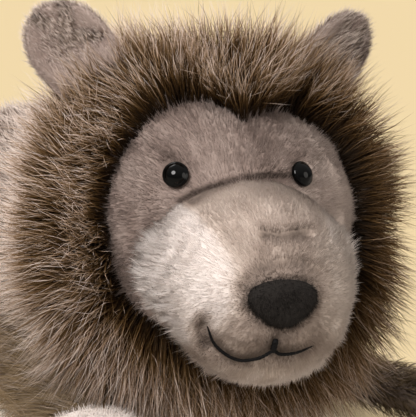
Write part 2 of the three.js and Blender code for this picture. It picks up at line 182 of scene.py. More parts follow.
def make_sky():
    """A warm light, strongest overhead, which the camera sees as the backdrop's colour."""
    world = bpy.data.worlds.new("studio_sky")
    tree = empty_tree(world)
    place = node(tree, "ShaderNodeTexCoord").outputs["Generated"]
    height = node(tree, "ShaderNodeSeparateXYZ", {"Vector": place}).outputs["Z"]
    strength = mapped(tree, height, SKY_HEIGHTS, SKY_STRENGTHS)
    light = node(tree, "ShaderNodeBackground", {"Color": SKY_COLOUR, "Strength": strength})
    seen = node(tree, "ShaderNodeBackground", {"Color": BACKDROP})
    sky = seen_as(tree, light.outputs["Background"], seen.outputs["Background"])
    node(tree, "ShaderNodeOutputWorld", {"Surface": sky})
    scene.world = world


def floor_material():
    """Matt paper near the wolf, fading with distance to the backdrop's plain colour.

    The camera sees that colour, and the wolf gets a soft glow from there, as from paper in the light.
    """
    material = bpy.data.materials.new("pale_floor")
    tree = empty_tree(material)
    place = node(tree, "ShaderNodeTexCoord").outputs["Object"]
    inputs = {0: place, 1: FLOOR_STRETCH, 2: -FLOOR_STRETCH * FLOOR_MIDDLE * MM}
    oval = node(tree, "ShaderNodeVectorMath", inputs, operation="MULTIPLY_ADD").outputs["Vector"]
    distance = node(tree, "ShaderNodeVectorMath", {0: oval}, operation="LENGTH").outputs["Value"]
    fade = mapped(tree, distance, FLOOR_FADE * MM, (0.0, 1.0), interpolation_type="SMOOTHSTEP")
    matt = node(tree, "ShaderNodeBsdfDiffuse", {"Color": FLOOR_COLOUR})
    bounced = node(tree, "ShaderNodeEmission", {"Color": FLOOR_COLOUR, "Strength": FLOOR_GLOW})
    seen = node(tree, "ShaderNodeEmission", {"Color": BACKDROP})
    plain = seen_as(tree, bounced.outputs["Emission"], seen.outputs["Emission"])
    mix = node(tree, "ShaderNodeMixShader", {"Fac": fade, 1: matt.outputs["BSDF"], 2: plain})
    node(tree, "ShaderNodeOutputMaterial", {"Surface": mix.outputs["Shader"]})
    return material


def turns(count):
    """Even angles round a circle."""
    return np.linspace(0, 2 * np.pi, count, endpoint=False)


def make_floor():
    """A flat disc with a round edge."""
    angle = turns(FLOOR_SIDES)
    rim = FLOOR_RADIUS * MM * np.stack([np.cos(angle), np.sin(angle), 0 * angle], axis=1)
    mesh = bpy.data.meshes.new("floor")
    mesh.from_pydata(rim.tolist(), [], [list(range(len(rim)))])
    mesh.materials.append(floor_material())
    floor = bpy.data.objects.new("floor", mesh)
    scene.collection.objects.link(floor)


lamp("key_lamp", (-900.0, -760.0, 900.0), 650.0, 21.0, (1.0, 0.97, 0.95))
lamp("rim_lamp", (-250.0, 750.0, 850.0), 900.0, 12.0, (1.0, 0.96, 0.93))
lamp("fill_lamp", (900.0, -950.0, 350.0), 900.0, 4.5, (1.0, 0.94, 0.86))
make_sky()
make_floor()

# %% [markdown]
# ## From arrays to skins
#
# Every stuffed form is a tube of rings with a fan at each end. A ring is one row of a numpy array, so a whole
# form is a single array of points, and its triangles follow from the row and column numbers alone. The sign
# of the volume tells whether the faces point outwards. The same triangles are used twice: they make the mesh,
# and hairs are scattered over them by area.

# %% Skins
Skin = namedtuple("Skin", "points triangles corners")
UV_NAME = "OFBake"
FLOOR_GAP = 0.3
NO_AREA = 1e-12


def sewn(rings, start, end):
    """A closed skin from an array of rings and a point at each end.

    Point (row, column) joins the next row and the next column, with the last column joined to the first.
    A corner's map place is its share of the way round and along.
    """
    rows, columns = rings.shape[:2]
    row, column = (grid.ravel() for grid in np.indices((rows - 1, columns)))
    edge = np.arange(columns)
    after = (column + 1) % columns
    first, last = rows * columns, rows * columns + 1
    top = (rows - 1) * columns

    def place(column_at, row_at):
        return np.stack(np.broadcast_arrays(column_at / columns, (row_at + 1) / (rows + 1)), axis=-1)

    lower = [row * columns + column, row * columns + after, (row + 1) * columns + after]
    upper = [row * columns + column, (row + 1) * columns + after, (row + 1) * columns + column]
    front = [np.full(columns, first), (edge + 1) % columns, edge]
    rear = [np.full(columns, last), top + edge, top + (edge + 1) % columns]
    triangles = np.concatenate([np.stack(part, axis=-1) for part in (lower, upper, front, rear)])
    corners = np.concatenate([
        np.stack([place(column, row), place(column + 1, row), place(column + 1, row + 1)], axis=1),
        np.stack([place(column, row), place(column + 1, row + 1), place(column, row + 1)], axis=1),
        np.stack([place(edge + 0.5, -1), place(edge + 1, 0), place(edge, 0)], axis=1),
        np.stack([place(edge + 0.5, rows), place(edge, rows - 1), place(edge + 1, rows - 1)], axis=1),
    ])
    points = np.concatenate([rings.reshape(-1, 3), [start], [end]])
    points[:, 2] = np.maximum(points[:, 2], FLOOR_GAP)
    a, b, c = (points[triangles[:, i]] - points.mean(axis=0) for i in range(3))
    if np.sum(a * np.cross(b, c)) < 0:
        triangles = triangles[:, ::-1]
        corners = corners[:, ::-1]
    return Skin(points, triangles, corners)


def joined(*skins):
    """Several skins as one, with their point numbers moved up in turn."""
    steps = np.cumsum([0] + [len(skin.points) for skin in skins[:-1]])
    return Skin(
        np.concatenate([skin.points for skin in skins]),
        np.concatenate([skin.triangles + step for skin, step in zip(skins, steps)]),
        np.concatenate([skin.corners for skin in skins]),
    )


def point_normals(skin):
    """At each point, the mean of the normals of its triangles, weighted by their areas."""
    a, b, c = (skin.points[skin.triangles[:, i]] for i in range(3))
    faces = np.cross(b - a, c - a)
    normals = np.zeros_like(skin.points)
    for corner in range(3):
        np.add.at(normals, skin.triangles[:, corner], faces)
    return unit(normals + NO_AREA)


def put_in_scene(name, skin, material, body, tone=None):
    """A smooth mesh object that rides on a body, with an optional tone at each point for its cloth."""
    mesh = bpy.data.meshes.new(name)
    count = len(skin.triangles)
    mesh.vertices.add(len(skin.points))
    mesh.vertices.foreach_set("co", (skin.points * MM).ravel().astype(np.float32))
    mesh.loops.add(3 * count)
    mesh.loops.foreach_set("vertex_index", skin.triangles.ravel().astype(np.int32))
    mesh.polygons.add(count)
    mesh.polygons.foreach_set("loop_start", np.arange(0, 3 * count, 3, dtype=np.int32))
    mesh.polygons.foreach_set("use_smooth", np.ones(count, dtype=bool))
    uv = mesh.uv_layers.new(name=UV_NAME)
    uv.data.foreach_set("uv", skin.corners.ravel().astype(np.float32))
    if tone is not None:
        attribute = mesh.attributes.new("tone", "FLOAT", "POINT")
        attribute.data.foreach_set("value", np.broadcast_to(tone, len(skin.points)).astype(np.float32))
    mesh.update(calc_edges=True)
    mesh.materials.append(material)
    obj = bpy.data.objects.new(name, mesh)
    scene.collection.objects.link(obj)
    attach(obj, body)
    return obj


def put_plush(name, skin, material, body, tone, nodes):
    """A stuffed piece that stands for some nodes of the frame."""
    obj = put_in_scene(name, skin, material, body, tone)
    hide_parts(*nodes)


# %% [markdown]
# ## Hairs
#
# A hair is a thin spike of three sides. Its direction turns evenly from the way it leaves the cloth to the
# way its tip lies, so a bend is one formula and not a chain of steps. Long hairs gather in locks: each leans
# towards the nearest of some chosen roots and shares that root's chance lean, as brushed pile does. The map
# place of a hair holds its tone across and its length along, so one picture colours every hair of a piece.

# %% Hair arrays
HAIR_MAP_WIDTH = 0.03
HAIR_SUNK = 0.6
HAIR_SWAY = 0.25
HAIR_TAPER = 0.7
SHORTEST_HAIR = 0.3
NO_FLOW = 1e-9
ASKEW = np.array([0.31, 0.17, 0.23])
WAVES, WAVE_RANGE = 14, (0.7, 1.4)


def waves(points, wavelength, seed, parts=1):
    """Smooth random values at each point, about -1 to 1: sums of sine waves in random directions."""
    rng = np.random.default_rng(seed)
    steps = 2 * np.pi / wavelength * rng.uniform(*WAVE_RANGE, WAVES)
    directions = unit(rng.normal(size=(WAVES, 3))) * steps[:, None]
    angles = points @ directions.T + rng.uniform(0, 2 * np.pi, WAVES)
    values = np.sin(angles) @ rng.normal(size=(WAVES, parts)) / np.sqrt(WAVES / 2)
    return values[:, 0] if parts == 1 else values


def tangent(normals, directions):
    """The part of each direction that lies along the surface, at length one."""
    directions = np.broadcast_to(directions, normals.shape)
    flat = directions - normals * np.sum(normals * directions, axis=1, keepdims=True)
    return unit(flat + NO_FLOW)


def blend(ways, amounts):
    """The sum of some directions, each by an amount that may differ from root to root."""
    return sum(np.reshape(amount, (-1, 1)) * way for way, amount in zip(ways, amounts))


def circles(across, beside, count):
    """Points round a circle of radius one in the plane of two directions, for each pair of directions."""
    angle = turns(count)[:, None]
    return np.cos(angle) * across[..., None, :] + np.sin(angle) * beside[..., None, :]


def scatter(skin, weight, count, rng):
    """Random places on a skin, as many to each triangle as its area times its weight asks for."""
    a, b, c = (skin.points[skin.triangles[:, i]] for i in range(3))
    areas = np.linalg.norm(np.cross(b - a, c - a), axis=1) / 2
    totals = np.cumsum(areas * weight((a + b + c) / 3))
    chosen = np.searchsorted(totals, rng.uniform(0, totals[-1], count))
    shares = rng.dirichlet((1, 1, 1), count)
    corners = skin.triangles[chosen]
    roots = np.einsum("ni,nij->nj", shares, skin.points[corners])
    normals = np.einsum("ni,nij->nj", shares, point_normals(skin)[corners])
    return roots, unit(normals)


def locks(roots, count, rng):
    """For each root, the way to the middle of its lock and three chance values that the lock shares."""
    middles = roots[rng.choice(len(roots), count, replace=False)]
    nearness = roots @ middles.T - np.sum(middles ** 2, axis=1) / 2
    nearest = np.argmax(nearness, axis=1)
    return middles[nearest] - roots, rng.normal(size=(count, 3))[nearest]


def hair_pattern(rings):
    """The triangles of one hair and the map share (across, along) of each corner: a base, walls and a tip."""
    triangles = [(0, 2, 1)]
    corners = [((0.0, 0.0), (0.66, 0.01), (0.33, 0.02))]
    for ring in range(rings - 1):
        for side in range(3):
            a, b = 3 * ring + side, 3 * ring + (side + 1) % 3
            near, far = side / 3, (side + 1) / 3
            low, high = ring / rings, (ring + 1) / rings
            triangles += [(a, b, b + 3), (a, b + 3, a + 3)]
            corners += [((near, low), (far, low), (far, high)), ((near, low), (far, high), (near, high))]
    last = 3 * (rings - 1)
    low = (rings - 1) / rings
    for side in range(3):
        triangles.append((last + side, last + (side + 1) % 3, 3 * rings))
        corners.append(((side / 3, low), ((side + 1) / 3, low), ((side + 0.5) / 3, 1.0)))
    return np.array(triangles), np.array(corners)


def hairs(roots, normals, starts, ends, sways, lengths, radii, tones, rings):
    """Many hairs as one skin.

    At share t of its length L a hair stands at
    root + L * ((t - t*t/2) * start + t*t/2 * end + t*t*(1 - t) * sway),
    with a radius of radius * (1 - t) ** HAIR_TAPER, so it ends in a point. None goes below the floor.
    """
    starts, ends = unit(starts), unit(ends)
    share = (np.arange(rings + 1) / rings)[:, None]
    bases = roots - HAIR_SUNK * normals
    path = bases[:, None] + lengths[:, None, None] * (
        (share - share ** 2 / 2) * starts[:, None]
        + share ** 2 / 2 * ends[:, None]
        + share ** 2 * (1 - share) * sways[:, None]
    )
    across = unit(np.cross(starts, ends + ASKEW))
    ring = circles(across, np.cross(starts, across), 3)
    width = radii[:, None] * (1 - share[:-1, 0]) ** HAIR_TAPER
    walls = path[:, :-1, None] + width[..., None, None] * ring[:, None]
    points = np.concatenate([walls.reshape(len(roots), -1, 3), path[:, -1:]], axis=1)
    points[..., 2] = np.maximum(points[..., 2], FLOOR_GAP)
    pattern, pattern_map = hair_pattern(rings)
    steps = points.shape[1] * np.arange(len(roots))
    triangles = pattern + steps[:, None, None]
    corners = np.tile(pattern_map, (len(roots), 1, 1, 1))
    left = np.clip(tones, 0, 1) * (1 - HAIR_MAP_WIDTH)
    corners[..., 0] = left[:, None, None] + HAIR_MAP_WIDTH * corners[..., 0]
    return Skin(points.reshape(-1, 3), triangles.reshape(-1, 3), corners.reshape(-1, 3, 2))


def fur(name, material, body, skin, weight, count, comb, rings, seed):
    """A piece of fur: hairs scattered over a skin, combed by a function of their roots and normals."""
    rng = np.random.default_rng(seed)
    roots, normals = scatter(skin, weight, count, rng)
    starts, ends, lengths, radii, tones = comb(roots, normals, rng)
    sways = HAIR_SWAY * rng.normal(size=roots.shape)
    kept = lengths > SHORTEST_HAIR
    parts = (roots, normals, starts, ends, sways, lengths, radii, tones)
    grown = hairs(*(part[kept] for part in parts), rings)
    put_in_scene(name, grown, material, body)
    print(name, "hairs:", kept.sum(), "triangles:", len(grown.triangles))


# %% [markdown]
# ## Finishes
#
# Pile cloth is matt, and its colour changes along each hair and from hair to hair. Long hair is dark at the
# root, warm in the middle and pale at the tip, and its tone slides that change up or down the hair. Clipped
# pile takes its colour from its tone, with painted shade that darkens it towards the root. The cloth under
# the pile has the same tones with a fine uneven nap.

# %% Materials
HAIR_ROUGHNESS, PILE_ROUGHNESS, CLOTH_ROUGHNESS = 0.55, 0.7, 0.85
CLOTH_SHINE, PLAIN_SHINE = 0.12, 0.25
TONE_SLIDE = 0.8
PAINTED_ROOT_SHADE_END = 0.75
CLOTH_NAP, CLOTH_DEPTH, MOTTLING = 900.0, 0.6, 0.3
NOISE_DETAIL, BUMP_STRENGTH = 3.0, 0.5
PLAIN_DARK, PLAIN_LIGHT = 0.3, 0.7


def new_material(name, roughness, specular=CLOTH_SHINE):
    """A surface whose colour is still to be fed."""
    material = bpy.data.materials.new(name)
    material.use_nodes = True
    tree = material.node_tree
    surface = tree.nodes["Principled BSDF"]
    feed(tree, surface, {"Roughness": roughness, "Specular IOR Level": specular})
    return material, tree, surface


def ramp(tree, value, stops):
    """The colour at a value, from pairs of a place and a colour."""
    made = node(tree, "ShaderNodeValToRGB", {"Fac": value})
    elements = made.color_ramp.elements
    while len(elements) < len(stops):
        elements.new(0.5)
    for element, (place, colour) in zip(elements, stops):
        element.position = place
        element.color = (*colour, 1.0)
    return made.outputs["Color"]


def map_shares(tree):
    """The across and along outputs of the hair map."""
    uv = node(tree, "ShaderNodeUVMap", uv_map=UV_NAME).outputs["UV"]
    parts = node(tree, "ShaderNodeSeparateXYZ", {"Vector": uv})
    return parts.outputs["X"], parts.outputs["Y"]


def scaled_sum(tree, value, factor, base, offset):
    """value * factor + base + offset, as one node after another."""
    inputs = {0: value, 1: factor, 2: base}
    product = node(tree, "ShaderNodeMath", inputs, operation="MULTIPLY_ADD").outputs["Value"]
    return node(tree, "ShaderNodeMath", {0: product, 1: offset}).outputs["Value"]


def long_hair_material(name, stops):
    """Colour by the share along the hair, moved up or down by the hair's tone."""
    material, tree, surface = new_material(name, HAIR_ROUGHNESS)
    tone, along = map_shares(tree)
    place = scaled_sum(tree, tone, TONE_SLIDE, along, -TONE_SLIDE / 2)
    feed(tree, surface, {"Base Color": ramp(tree, place, stops)})
    return material


def clipped_pile_material(name, tones, painted_root_shade):
    """Colour by the hair's tone, with painted shade towards the root."""
    material, tree, surface = new_material(name, PILE_ROUGHNESS)
    tone, along = map_shares(tree)
    # Painted shade: each hair darkens towards its root.
    shade = ramp(tree, along, [(0.0, (painted_root_shade,) * 3), (PAINTED_ROOT_SHADE_END, (1.0,) * 3)])
    inputs = {"Factor": 1.0, "A": ramp(tree, tone, tones), "B": shade}
    mix = node(tree, "ShaderNodeMix", inputs, data_type="RGBA", blend_type="MULTIPLY")
    feed(tree, surface, {"Base Color": mix.outputs["Result"]})
    return material


def noise(tree, scale):
    """A fine uneven pattern in the piece's own coordinates."""
    place = node(tree, "ShaderNodeTexCoord").outputs["Object"]
    inputs = {"Vector": place, "Scale": scale, "Detail": NOISE_DETAIL}
    return node(tree, "ShaderNodeTexNoise", inputs).outputs["Fac"]


def roughen(tree, surface, height, depth):
    """Bumps on a surface from a pattern, at a depth in millimetres."""
    inputs = {"Strength": BUMP_STRENGTH, "Distance": depth * MM, "Height": height}
    feed(tree, surface, {"Normal": node(tree, "ShaderNodeBump", inputs).outputs["Normal"]})


def cloth_material(name, tones):
    """The knitted ground of a pile cloth: its tone at each point, mottled by a fine uneven nap."""
    material, tree, surface = new_material(name, CLOTH_ROUGHNESS)
    tone = node(tree, "ShaderNodeAttribute", attribute_name="tone").outputs["Fac"]
    nap = noise(tree, CLOTH_NAP)
    mottled = scaled_sum(tree, nap, MOTTLING, tone, -MOTTLING / 2)
    feed(tree, surface, {"Base Color": ramp(tree, mottled, tones)})
    roughen(tree, surface, nap, CLOTH_DEPTH)
    return material


def plain_material(name, dark, light, scale, roughness, specular=PLAIN_SHINE, depth=0.0):
    """A plain finish that wanders between two near colours."""
    material, tree, surface = new_material(name, roughness, specular)
    pattern = noise(tree, scale)
    feed(tree, surface, {"Base Color": ramp(tree, pattern, [(PLAIN_DARK, dark), (PLAIN_LIGHT, light)])})
    if depth:
        roughen(tree, surface, pattern, depth)
    return material


MANE_STOPS = [
    (0.0, (0.014, 0.008, 0.004)),
    (0.32, (0.040, 0.021, 0.008)),
    (0.50, (0.100, 0.052, 0.016)),
    (0.64, (0.220, 0.130, 0.058)),
    (0.78, (0.450, 0.325, 0.230)),
    (0.90, (0.670, 0.530, 0.445)),
    (1.0, (0.820, 0.700, 0.630)),
]
COAT_STOPS = [
    (0.0, (0.060, 0.042, 0.032)),
    (0.3, (0.200, 0.150, 0.120)),
    (0.6, (0.470, 0.380, 0.325)),
    (1.0, (0.740, 0.625, 0.555)),
]
FACE_TONES = [
    (0.0, (0.045, 0.032, 0.026)),
    (0.5, (0.270, 0.203, 0.175)),
    (1.0, (0.540, 0.440, 0.390)),
]
MUZZLE_TONES = [
    (0.0, (0.075, 0.055, 0.045)),
    (0.4, (0.400, 0.318, 0.268)),
    (0.7, (0.620, 0.520, 0.455)),
    (1.0, (0.870, 0.790, 0.745)),
]
LEG_TONES = [
    (0.0, (0.050, 0.033, 0.018)),
    (0.4, (0.240, 0.165, 0.084)),
    (0.7, (0.370, 0.285, 0.205)),
    (1.0, (0.640, 0.540, 0.480)),
]
MANE_GROUND = [(0.0, (0.010, 0.006, 0.004)), (1.0, (0.050, 0.030, 0.017))]
COAT_GROUND = [(0.0, (0.040, 0.029, 0.023)), (1.0, (0.330, 0.255, 0.210))]
FELT_TONES = [(0.0, (0.004, 0.003, 0.003)), (1.0, (0.062, 0.053, 0.047))]
mane_hair = long_hair_material("mane_hair", MANE_STOPS)
coat_hair = long_hair_material("coat_hair", COAT_STOPS)
leg_pile = clipped_pile_material("leg_pile", LEG_TONES, 0.5)
face_pile = clipped_pile_material("face_pile", FACE_TONES, 0.75)
muzzle_pile = clipped_pile_material("muzzle_pile", MUZZLE_TONES, 0.9)
felt_nap = clipped_pile_material("felt_nap", FELT_TONES, 0.6)
face_cloth = cloth_material("face_cloth", FACE_TONES)
muzzle_cloth = cloth_material("muzzle_cloth", MUZZLE_TONES)
mane_cloth = cloth_material("mane_cloth", MANE_GROUND)
coat_cloth = cloth_material("coat_cloth", COAT_GROUND)
nose_felt = plain_material("nose_felt", (0.012, 0.010, 0.009), (0.026, 0.022, 0.019), 1400.0, 0.9, 0.2, 0.3)
thread_satin = plain_material("thread_satin", (0.003, 0.003, 0.003), (0.007, 0.006, 0.006), 900.0, 0.6, 0.1)
bead_gloss = plain_material("bead_gloss", (0.001, 0.001, 0.001), (0.002, 0.002, 0.002), 200.0, 0.04, 0.2)
washer_plastic = plain_material("washer_plastic", (0.60, 0.60, 0.60), (0.66, 0.66, 0.66), 300.0, 0.5)
print("finishes:", len(bpy.data.materials))

# %% [markdown]
# ## The head's forms
#
# The skull and the muzzle are egg shapes with their front pole towards the camera. On the real toy the face
# panel is sewn to the mane along a hairline with a peak in the middle of the forehead, and the muzzle panel
# is sewn on over the lower half of the face. Each panel is a grid of an angle away from the front pole and an
# angle round it, so the hairline is simply how far the grid reaches at each angle.

# %% Head surfaces
SKULL = np.array([67.0, 58.0, 62.0])
MUZZLE = np.array([52.0, 41.0, 48.5])
MUZZLE_CENTRE = np.array([0.0, -55.0, -20.0])
PANEL_INSET = 1.6
HAIRLINE_PEAK = np.radians(86)
HAIRLINE_FROM_PEAK = [0, 5, 10, 17, 26, 37, 50, 62, 75, 90, 112, 180]
HAIRLINE_RIGHT = [56, 62, 69, 74, 75, 74, 71, 68, 64, 61, 58, 58]
HAIRLINE_LEFT = [56, 59, 64, 69, 74, 77, 76, 73, 69, 64, 60, 58]
FACE_SPREAD = 5.5
SPREAD_FROM, SPREAD_TO = 10.0, 60.0


def egg(halves, centre, polar, around):
    """An ellipsoid with its pole forward: centre + halves * (sin p cos a, -cos p, sin p sin a)."""
    shape = np.stack([
        np.sin(polar) * np.cos(around),
        -np.cos(polar),
        np.sin(polar) * np.sin(around),
    ], axis=-1)
    return centre + halves * shape


def egg_normals(points, halves, centre):
    """The outward normals of an ellipsoid at points on it."""
    return unit((points - centre) / halves ** 2)


def hairline(around):
    """The angle from the front pole at which the face ends and the mane begins, for each angle round it."""
    turned = np.angle(np.exp(1j * (around - HAIRLINE_PEAK)))
    from_peak = np.degrees(np.abs(turned))
    on_right = np.interp(from_peak, HAIRLINE_FROM_PEAK, HAIRLINE_RIGHT)
    on_left = np.interp(from_peak, HAIRLINE_FROM_PEAK, HAIRLINE_LEFT)
    return np.radians(np.where(turned > 0, on_right, on_left))


def soft_step(values, start, end):
    """0 before start and 1 after end, with a smooth change between; start may be above end."""
    share = np.clip((values - start) / (end - start), 0, 1)
    return share * share * (3 - 2 * share)


def stepped(values, steps):
    """The sum of some smooth steps, each of an amount between its start and its end."""
    return sum(amount * soft_step(values, start, end) for amount, start, end in steps)


def spread(points):
    """Points of the skull moved out a little on its left side, where the toy is stuffed fuller."""
    moved = points.copy()
    moved[..., 0] += FACE_SPREAD * soft_step(points[..., 0], SPREAD_FROM, SPREAD_TO)
    return moved


def egg_grid(halves, centre, start, end, rows, columns):
    """Rings of an egg between two angles from its pole, which may change round it."""
    share, around = np.meshgrid(np.linspace(0, 1, rows), turns(columns), indexing="ij")
    first, last = (angle(around) if callable(angle) else np.radians(angle) for angle in (start, end))
    return egg(halves, centre, first + (last - first) * share, around)


# %% [markdown]
# ## Mouth, nose and creases
#
# The stitched mouth, the nose and a few creases shape the muzzle: the cloth is drawn in along the stitches
# and puckers above the nose. They are curves drawn on the front of the muzzle, in width and height from the
# middle of the head, and what the cloth does depends only on the distance to them. Round spots do the rest:
# the lips swell, and the cloth is tucked in under the cheeks and the chin.

# %% Curves and spots on the muzzle
MOUTH = [
    [-30.5, -28.0], [-27.0, -35.5], [-21.0, -40.8], [-14.5, -43.3], [-7.0, -42.0], [-1.5, -38.8],
    [2.5, -40.4], [9.5, -40.4], [18.0, -38.0],
]
LIP = [[-1.4, -32.8], [-1.6, -36.0], [-1.6, -38.8]]
DIMPLE = [[-30.5, -24.5], [-31.5, -30.0], [-29.0, -36.0]]
BRIDGE_CREASE = [[-5.0, 10.2], [-0.8, 9.7], [3.0, 9.5], [10.0, 10.0], [17.0, 10.2]]
NOSE_WRINKLE = [[-17.0, -10.0], [-12.4, -5.5], [-6.6, -3.0], [1.3, -1.6], [11.0, -2.4], [19.5, -6.0]]
BROW_SEAM = [
    [-30.5, 18.0], [-23.0, 22.3], [-16.5, 24.8], [-10.0, 26.8], [-3.0, 28.3], [3.8, 29.0], [10.0, 29.2],
    [18.0, 28.8], [26.0, 27.4],
]
NOSE_CENTRE = np.array([1.6, -17.4])
NOSE_HALVES = np.array([16.0, 10.3])
NOSE_TAPER = 0.3
NOSE_BROADEST = 1.04
Mark = namedtuple("Mark", "curve width depth")
Spot = namedtuple("Spot", "place spread depth")
PRESSES = [
    Mark(MOUTH, 2.6, 1.8),
    Mark(LIP, 2.2, 1.8),
    Mark(DIMPLE, 3.6, 1.4),
    Mark(BRIDGE_CREASE, 2.2, 1.8),
    Mark(NOSE_WRINKLE, 2.6, 0.9),
]
LIP_SWELL = [Spot((12.0, -33.0), (9.0, 8.0), 1.6)]
TUCKS = [
    Spot((-36.0, -46.0), (30.0, 27.0), 17.0),
    Spot((2.0, -68.0), (24.0, 14.0), 7.0),
    Spot((50.0, -30.0), (14.0, 30.0), 4.0),
]
PRESSED_DEPTHS, TUCKED_DEPTHS = (-80.0, -62.0), (-82.0, -62.0)
NOSE_SEAM, NOSE_SEAT, NOSE_SEAT_WIDTH = 1.05, 0.7, 0.22
CURVE_POINTS = 80


def through(values, share):
    """Smooth values through evenly spaced ones, at shares of the way along: a Catmull-Rom spline."""
    values = np.asarray(values, float)
    longer = np.concatenate([2 * values[:1] - values[1:2], values, 2 * values[-1:] - values[-2:-1]])
    where = np.asarray(share) * (len(values) - 1)
    step = np.minimum(where.astype(int), len(values) - 2)
    t = (where - step).reshape((-1,) + (1,) * (values.ndim - 1))
    a, b, c, d = (longer[step + i] for i in range(4))
    return b + t / 2 * (c - a + t * (2 * a - 5 * b + 4 * c - d + t * (3 * (b - c) + d - a)))


def distance_to(curve, flat):
    """The distance in the front view from each place to the nearest point of a curve."""
    fine = through(curve, np.linspace(0, 1, CURVE_POINTS))
    return np.linalg.norm(flat[:, None] - fine[None], axis=2).min(axis=1)


def groove(curve, flat, width):
    """1 on a curve, falling smoothly to 0 at a few widths from it."""
    return np.exp(-(distance_to(curve, flat) / width) ** 2)


def grooves(marks, flat):
    """The sum of some grooves, each with its own depth."""
    return sum(mark.depth * groove(mark.curve, flat, mark.width) for mark in marks)


def spots(marks, flat):
    """The sum of some spots, each falling smoothly from its depth at its place to 0 at a few spreads."""
    away = [np.sum(((flat - mark.place) / mark.spread) ** 2, axis=1) for mark in marks]
    return sum(mark.depth * np.exp(-distance) for mark, distance in zip(marks, away))


def nose_edge(angle):
    """The edge of the nose at an angle, in shares of its half width and height: broader above."""
    breadth = (1 + NOSE_TAPER * np.sin(angle)) / NOSE_BROADEST
    return np.stack([np.cos(angle) * breadth, np.sin(angle)], axis=-1)


def nose_reach(flat):
    """How far a place is from the nose's middle, where 1 is about the nose's edge."""
    height = (flat[:, 1] - NOSE_CENTRE[1]) / NOSE_HALVES[1]
    breadth = (1 + NOSE_TAPER * np.clip(height, -1, 1)) / NOSE_BROADEST
    return np.hypot((flat[:, 0] - NOSE_CENTRE[0]) / NOSE_HALVES[0] / breadth, height)


def round_nose(flat, reach, width):
    """1 on a ring at a reach from the nose's middle, falling smoothly to 0 on both sides."""
    return np.exp(-((nose_reach(flat) - reach) / width) ** 2)


def muzzle_shape(points):
    """How far the muzzle's cloth is pressed in or stands out at each point of its egg, in millimetres."""
    local = points - HEAD
    flat = local[:, [0, 2]]
    folded = np.column_stack([np.abs(flat[:, 0]), flat[:, 1]])
    front = np.interp(local[:, 1], PRESSED_DEPTHS, (1, 0))
    behind = np.interp(local[:, 1], TUCKED_DEPTHS, (0, 1))
    pressed = grooves(PRESSES, flat) + NOSE_SEAT * round_nose(flat, NOSE_SEAM, NOSE_SEAT_WIDTH)
    return front * (spots(LIP_SWELL, folded) - pressed) - behind * spots(TUCKS, flat)


def muzzle_front(flat):
    """The place on the front of the muzzle's egg at each width and height from the middle of the head."""
    sunk = 1 - (flat[..., 0] / MUZZLE[0]) ** 2 - ((flat[..., 1] - MUZZLE_CENTRE[2]) / MUZZLE[2]) ** 2
    depth = MUZZLE_CENTRE[1] - MUZZLE[1] * np.sqrt(sunk)
    return HEAD + np.stack([flat[..., 0], depth, flat[..., 1]], axis=-1)


# %% [markdown]
# ## Tones of the face
#
# The maker's cloth is taupe on the mask and cream on the cheeks of the muzzle, with a taupe bridge between
# the eyes and the nose. The tone at a place is worked out from the same curves, and both the ground and the
# hairs that grow there use it. The tones also carry painted light and shade: painted shade in the creases,
# along the stitches, round and under the nose, above the eyes and on the far cheek, and painted light on the
# far side of the face and on the chin.

# %% Tones
EYES = {"right": np.array([-32.0, 29.0]), "left": np.array([28.0, 29.0])}
Pattern = namedtuple("Pattern", "wavelength seed")
FACE_TONE, PAINTED_BRUSH_SHEEN = 0.58, 0.05
BROAD_BRUSH, FINE_BRUSH = Pattern(26.0, 3), Pattern(11.0, 5)
BRUSH_STRETCH = np.array([1.6, 1.0, 0.5])
# The first step is painted light, making the far side from the key lamp paler.
FACE_SIDE_STEPS_AND_FAR_LIGHT = [(0.36, 5.0, 45.0), (0.08, -20.0, -50.0)]
# Painted shade along the brow seam.
BROW_SEAM_SHADE = [Mark(BROW_SEAM, 1.5, 0.70)]
# Painted shadow above each eye.
EYE_SOCKET_SHADOWS = [Spot(place + (0.0, 4.5), (7.0, 6.5), 0.40) for place in EYES.values()]
BRIDGE_TONE, CHEEK_PALER = 0.48, 0.50
CHEEK_EDGE, CHEEK_CURVE, CHEEK_MIDDLE, CHEEK_FADE = 17.5, 0.0165, -10.0, (-5.0, 6.0)
# Painted shade: the cheek away from the key lamp is darker.
PAINTED_FAR_CHEEK_SHADE = [(-0.27, -5.0, 20.0)]
# The first step is painted light on the chin, which faces down; the second makes the upper bridge paler.
CHIN_LIGHT_AND_BRIDGE_STEPS = [(0.32, -42.0, -52.0), (0.08, 4.0, 20.0)]
# Painted shade in the creases, the dimple, the brow seam and along the mouth.
MUZZLE_CREASE_SHADES = [
    Mark(BRIDGE_CREASE, 2.6, 0.32),
    Mark(NOSE_WRINKLE, 3.0, 0.24),
    Mark(MOUTH, 2.0, 0.22),
    Mark(DIMPLE, 3.0, 0.55),
    Mark(BROW_SEAM, 1.0, 0.45),
]
# Painted shade on the lip under the nose.
PAINTED_LIP_SHADE = [Spot((0.0, -35.0), (20.0, 7.0), 0.18)]
# NOSE_SHADE is painted shade in a ring round the nose's edge.
NOSE_SHADE, NOSE_SHADE_REACH, NOSE_SHADE_WIDTH = 0.25, 1.0, 0.14
MUZZLE_MOTTLING, MUZZLE_PATTERN = 0.03, Pattern(15.0, 4)


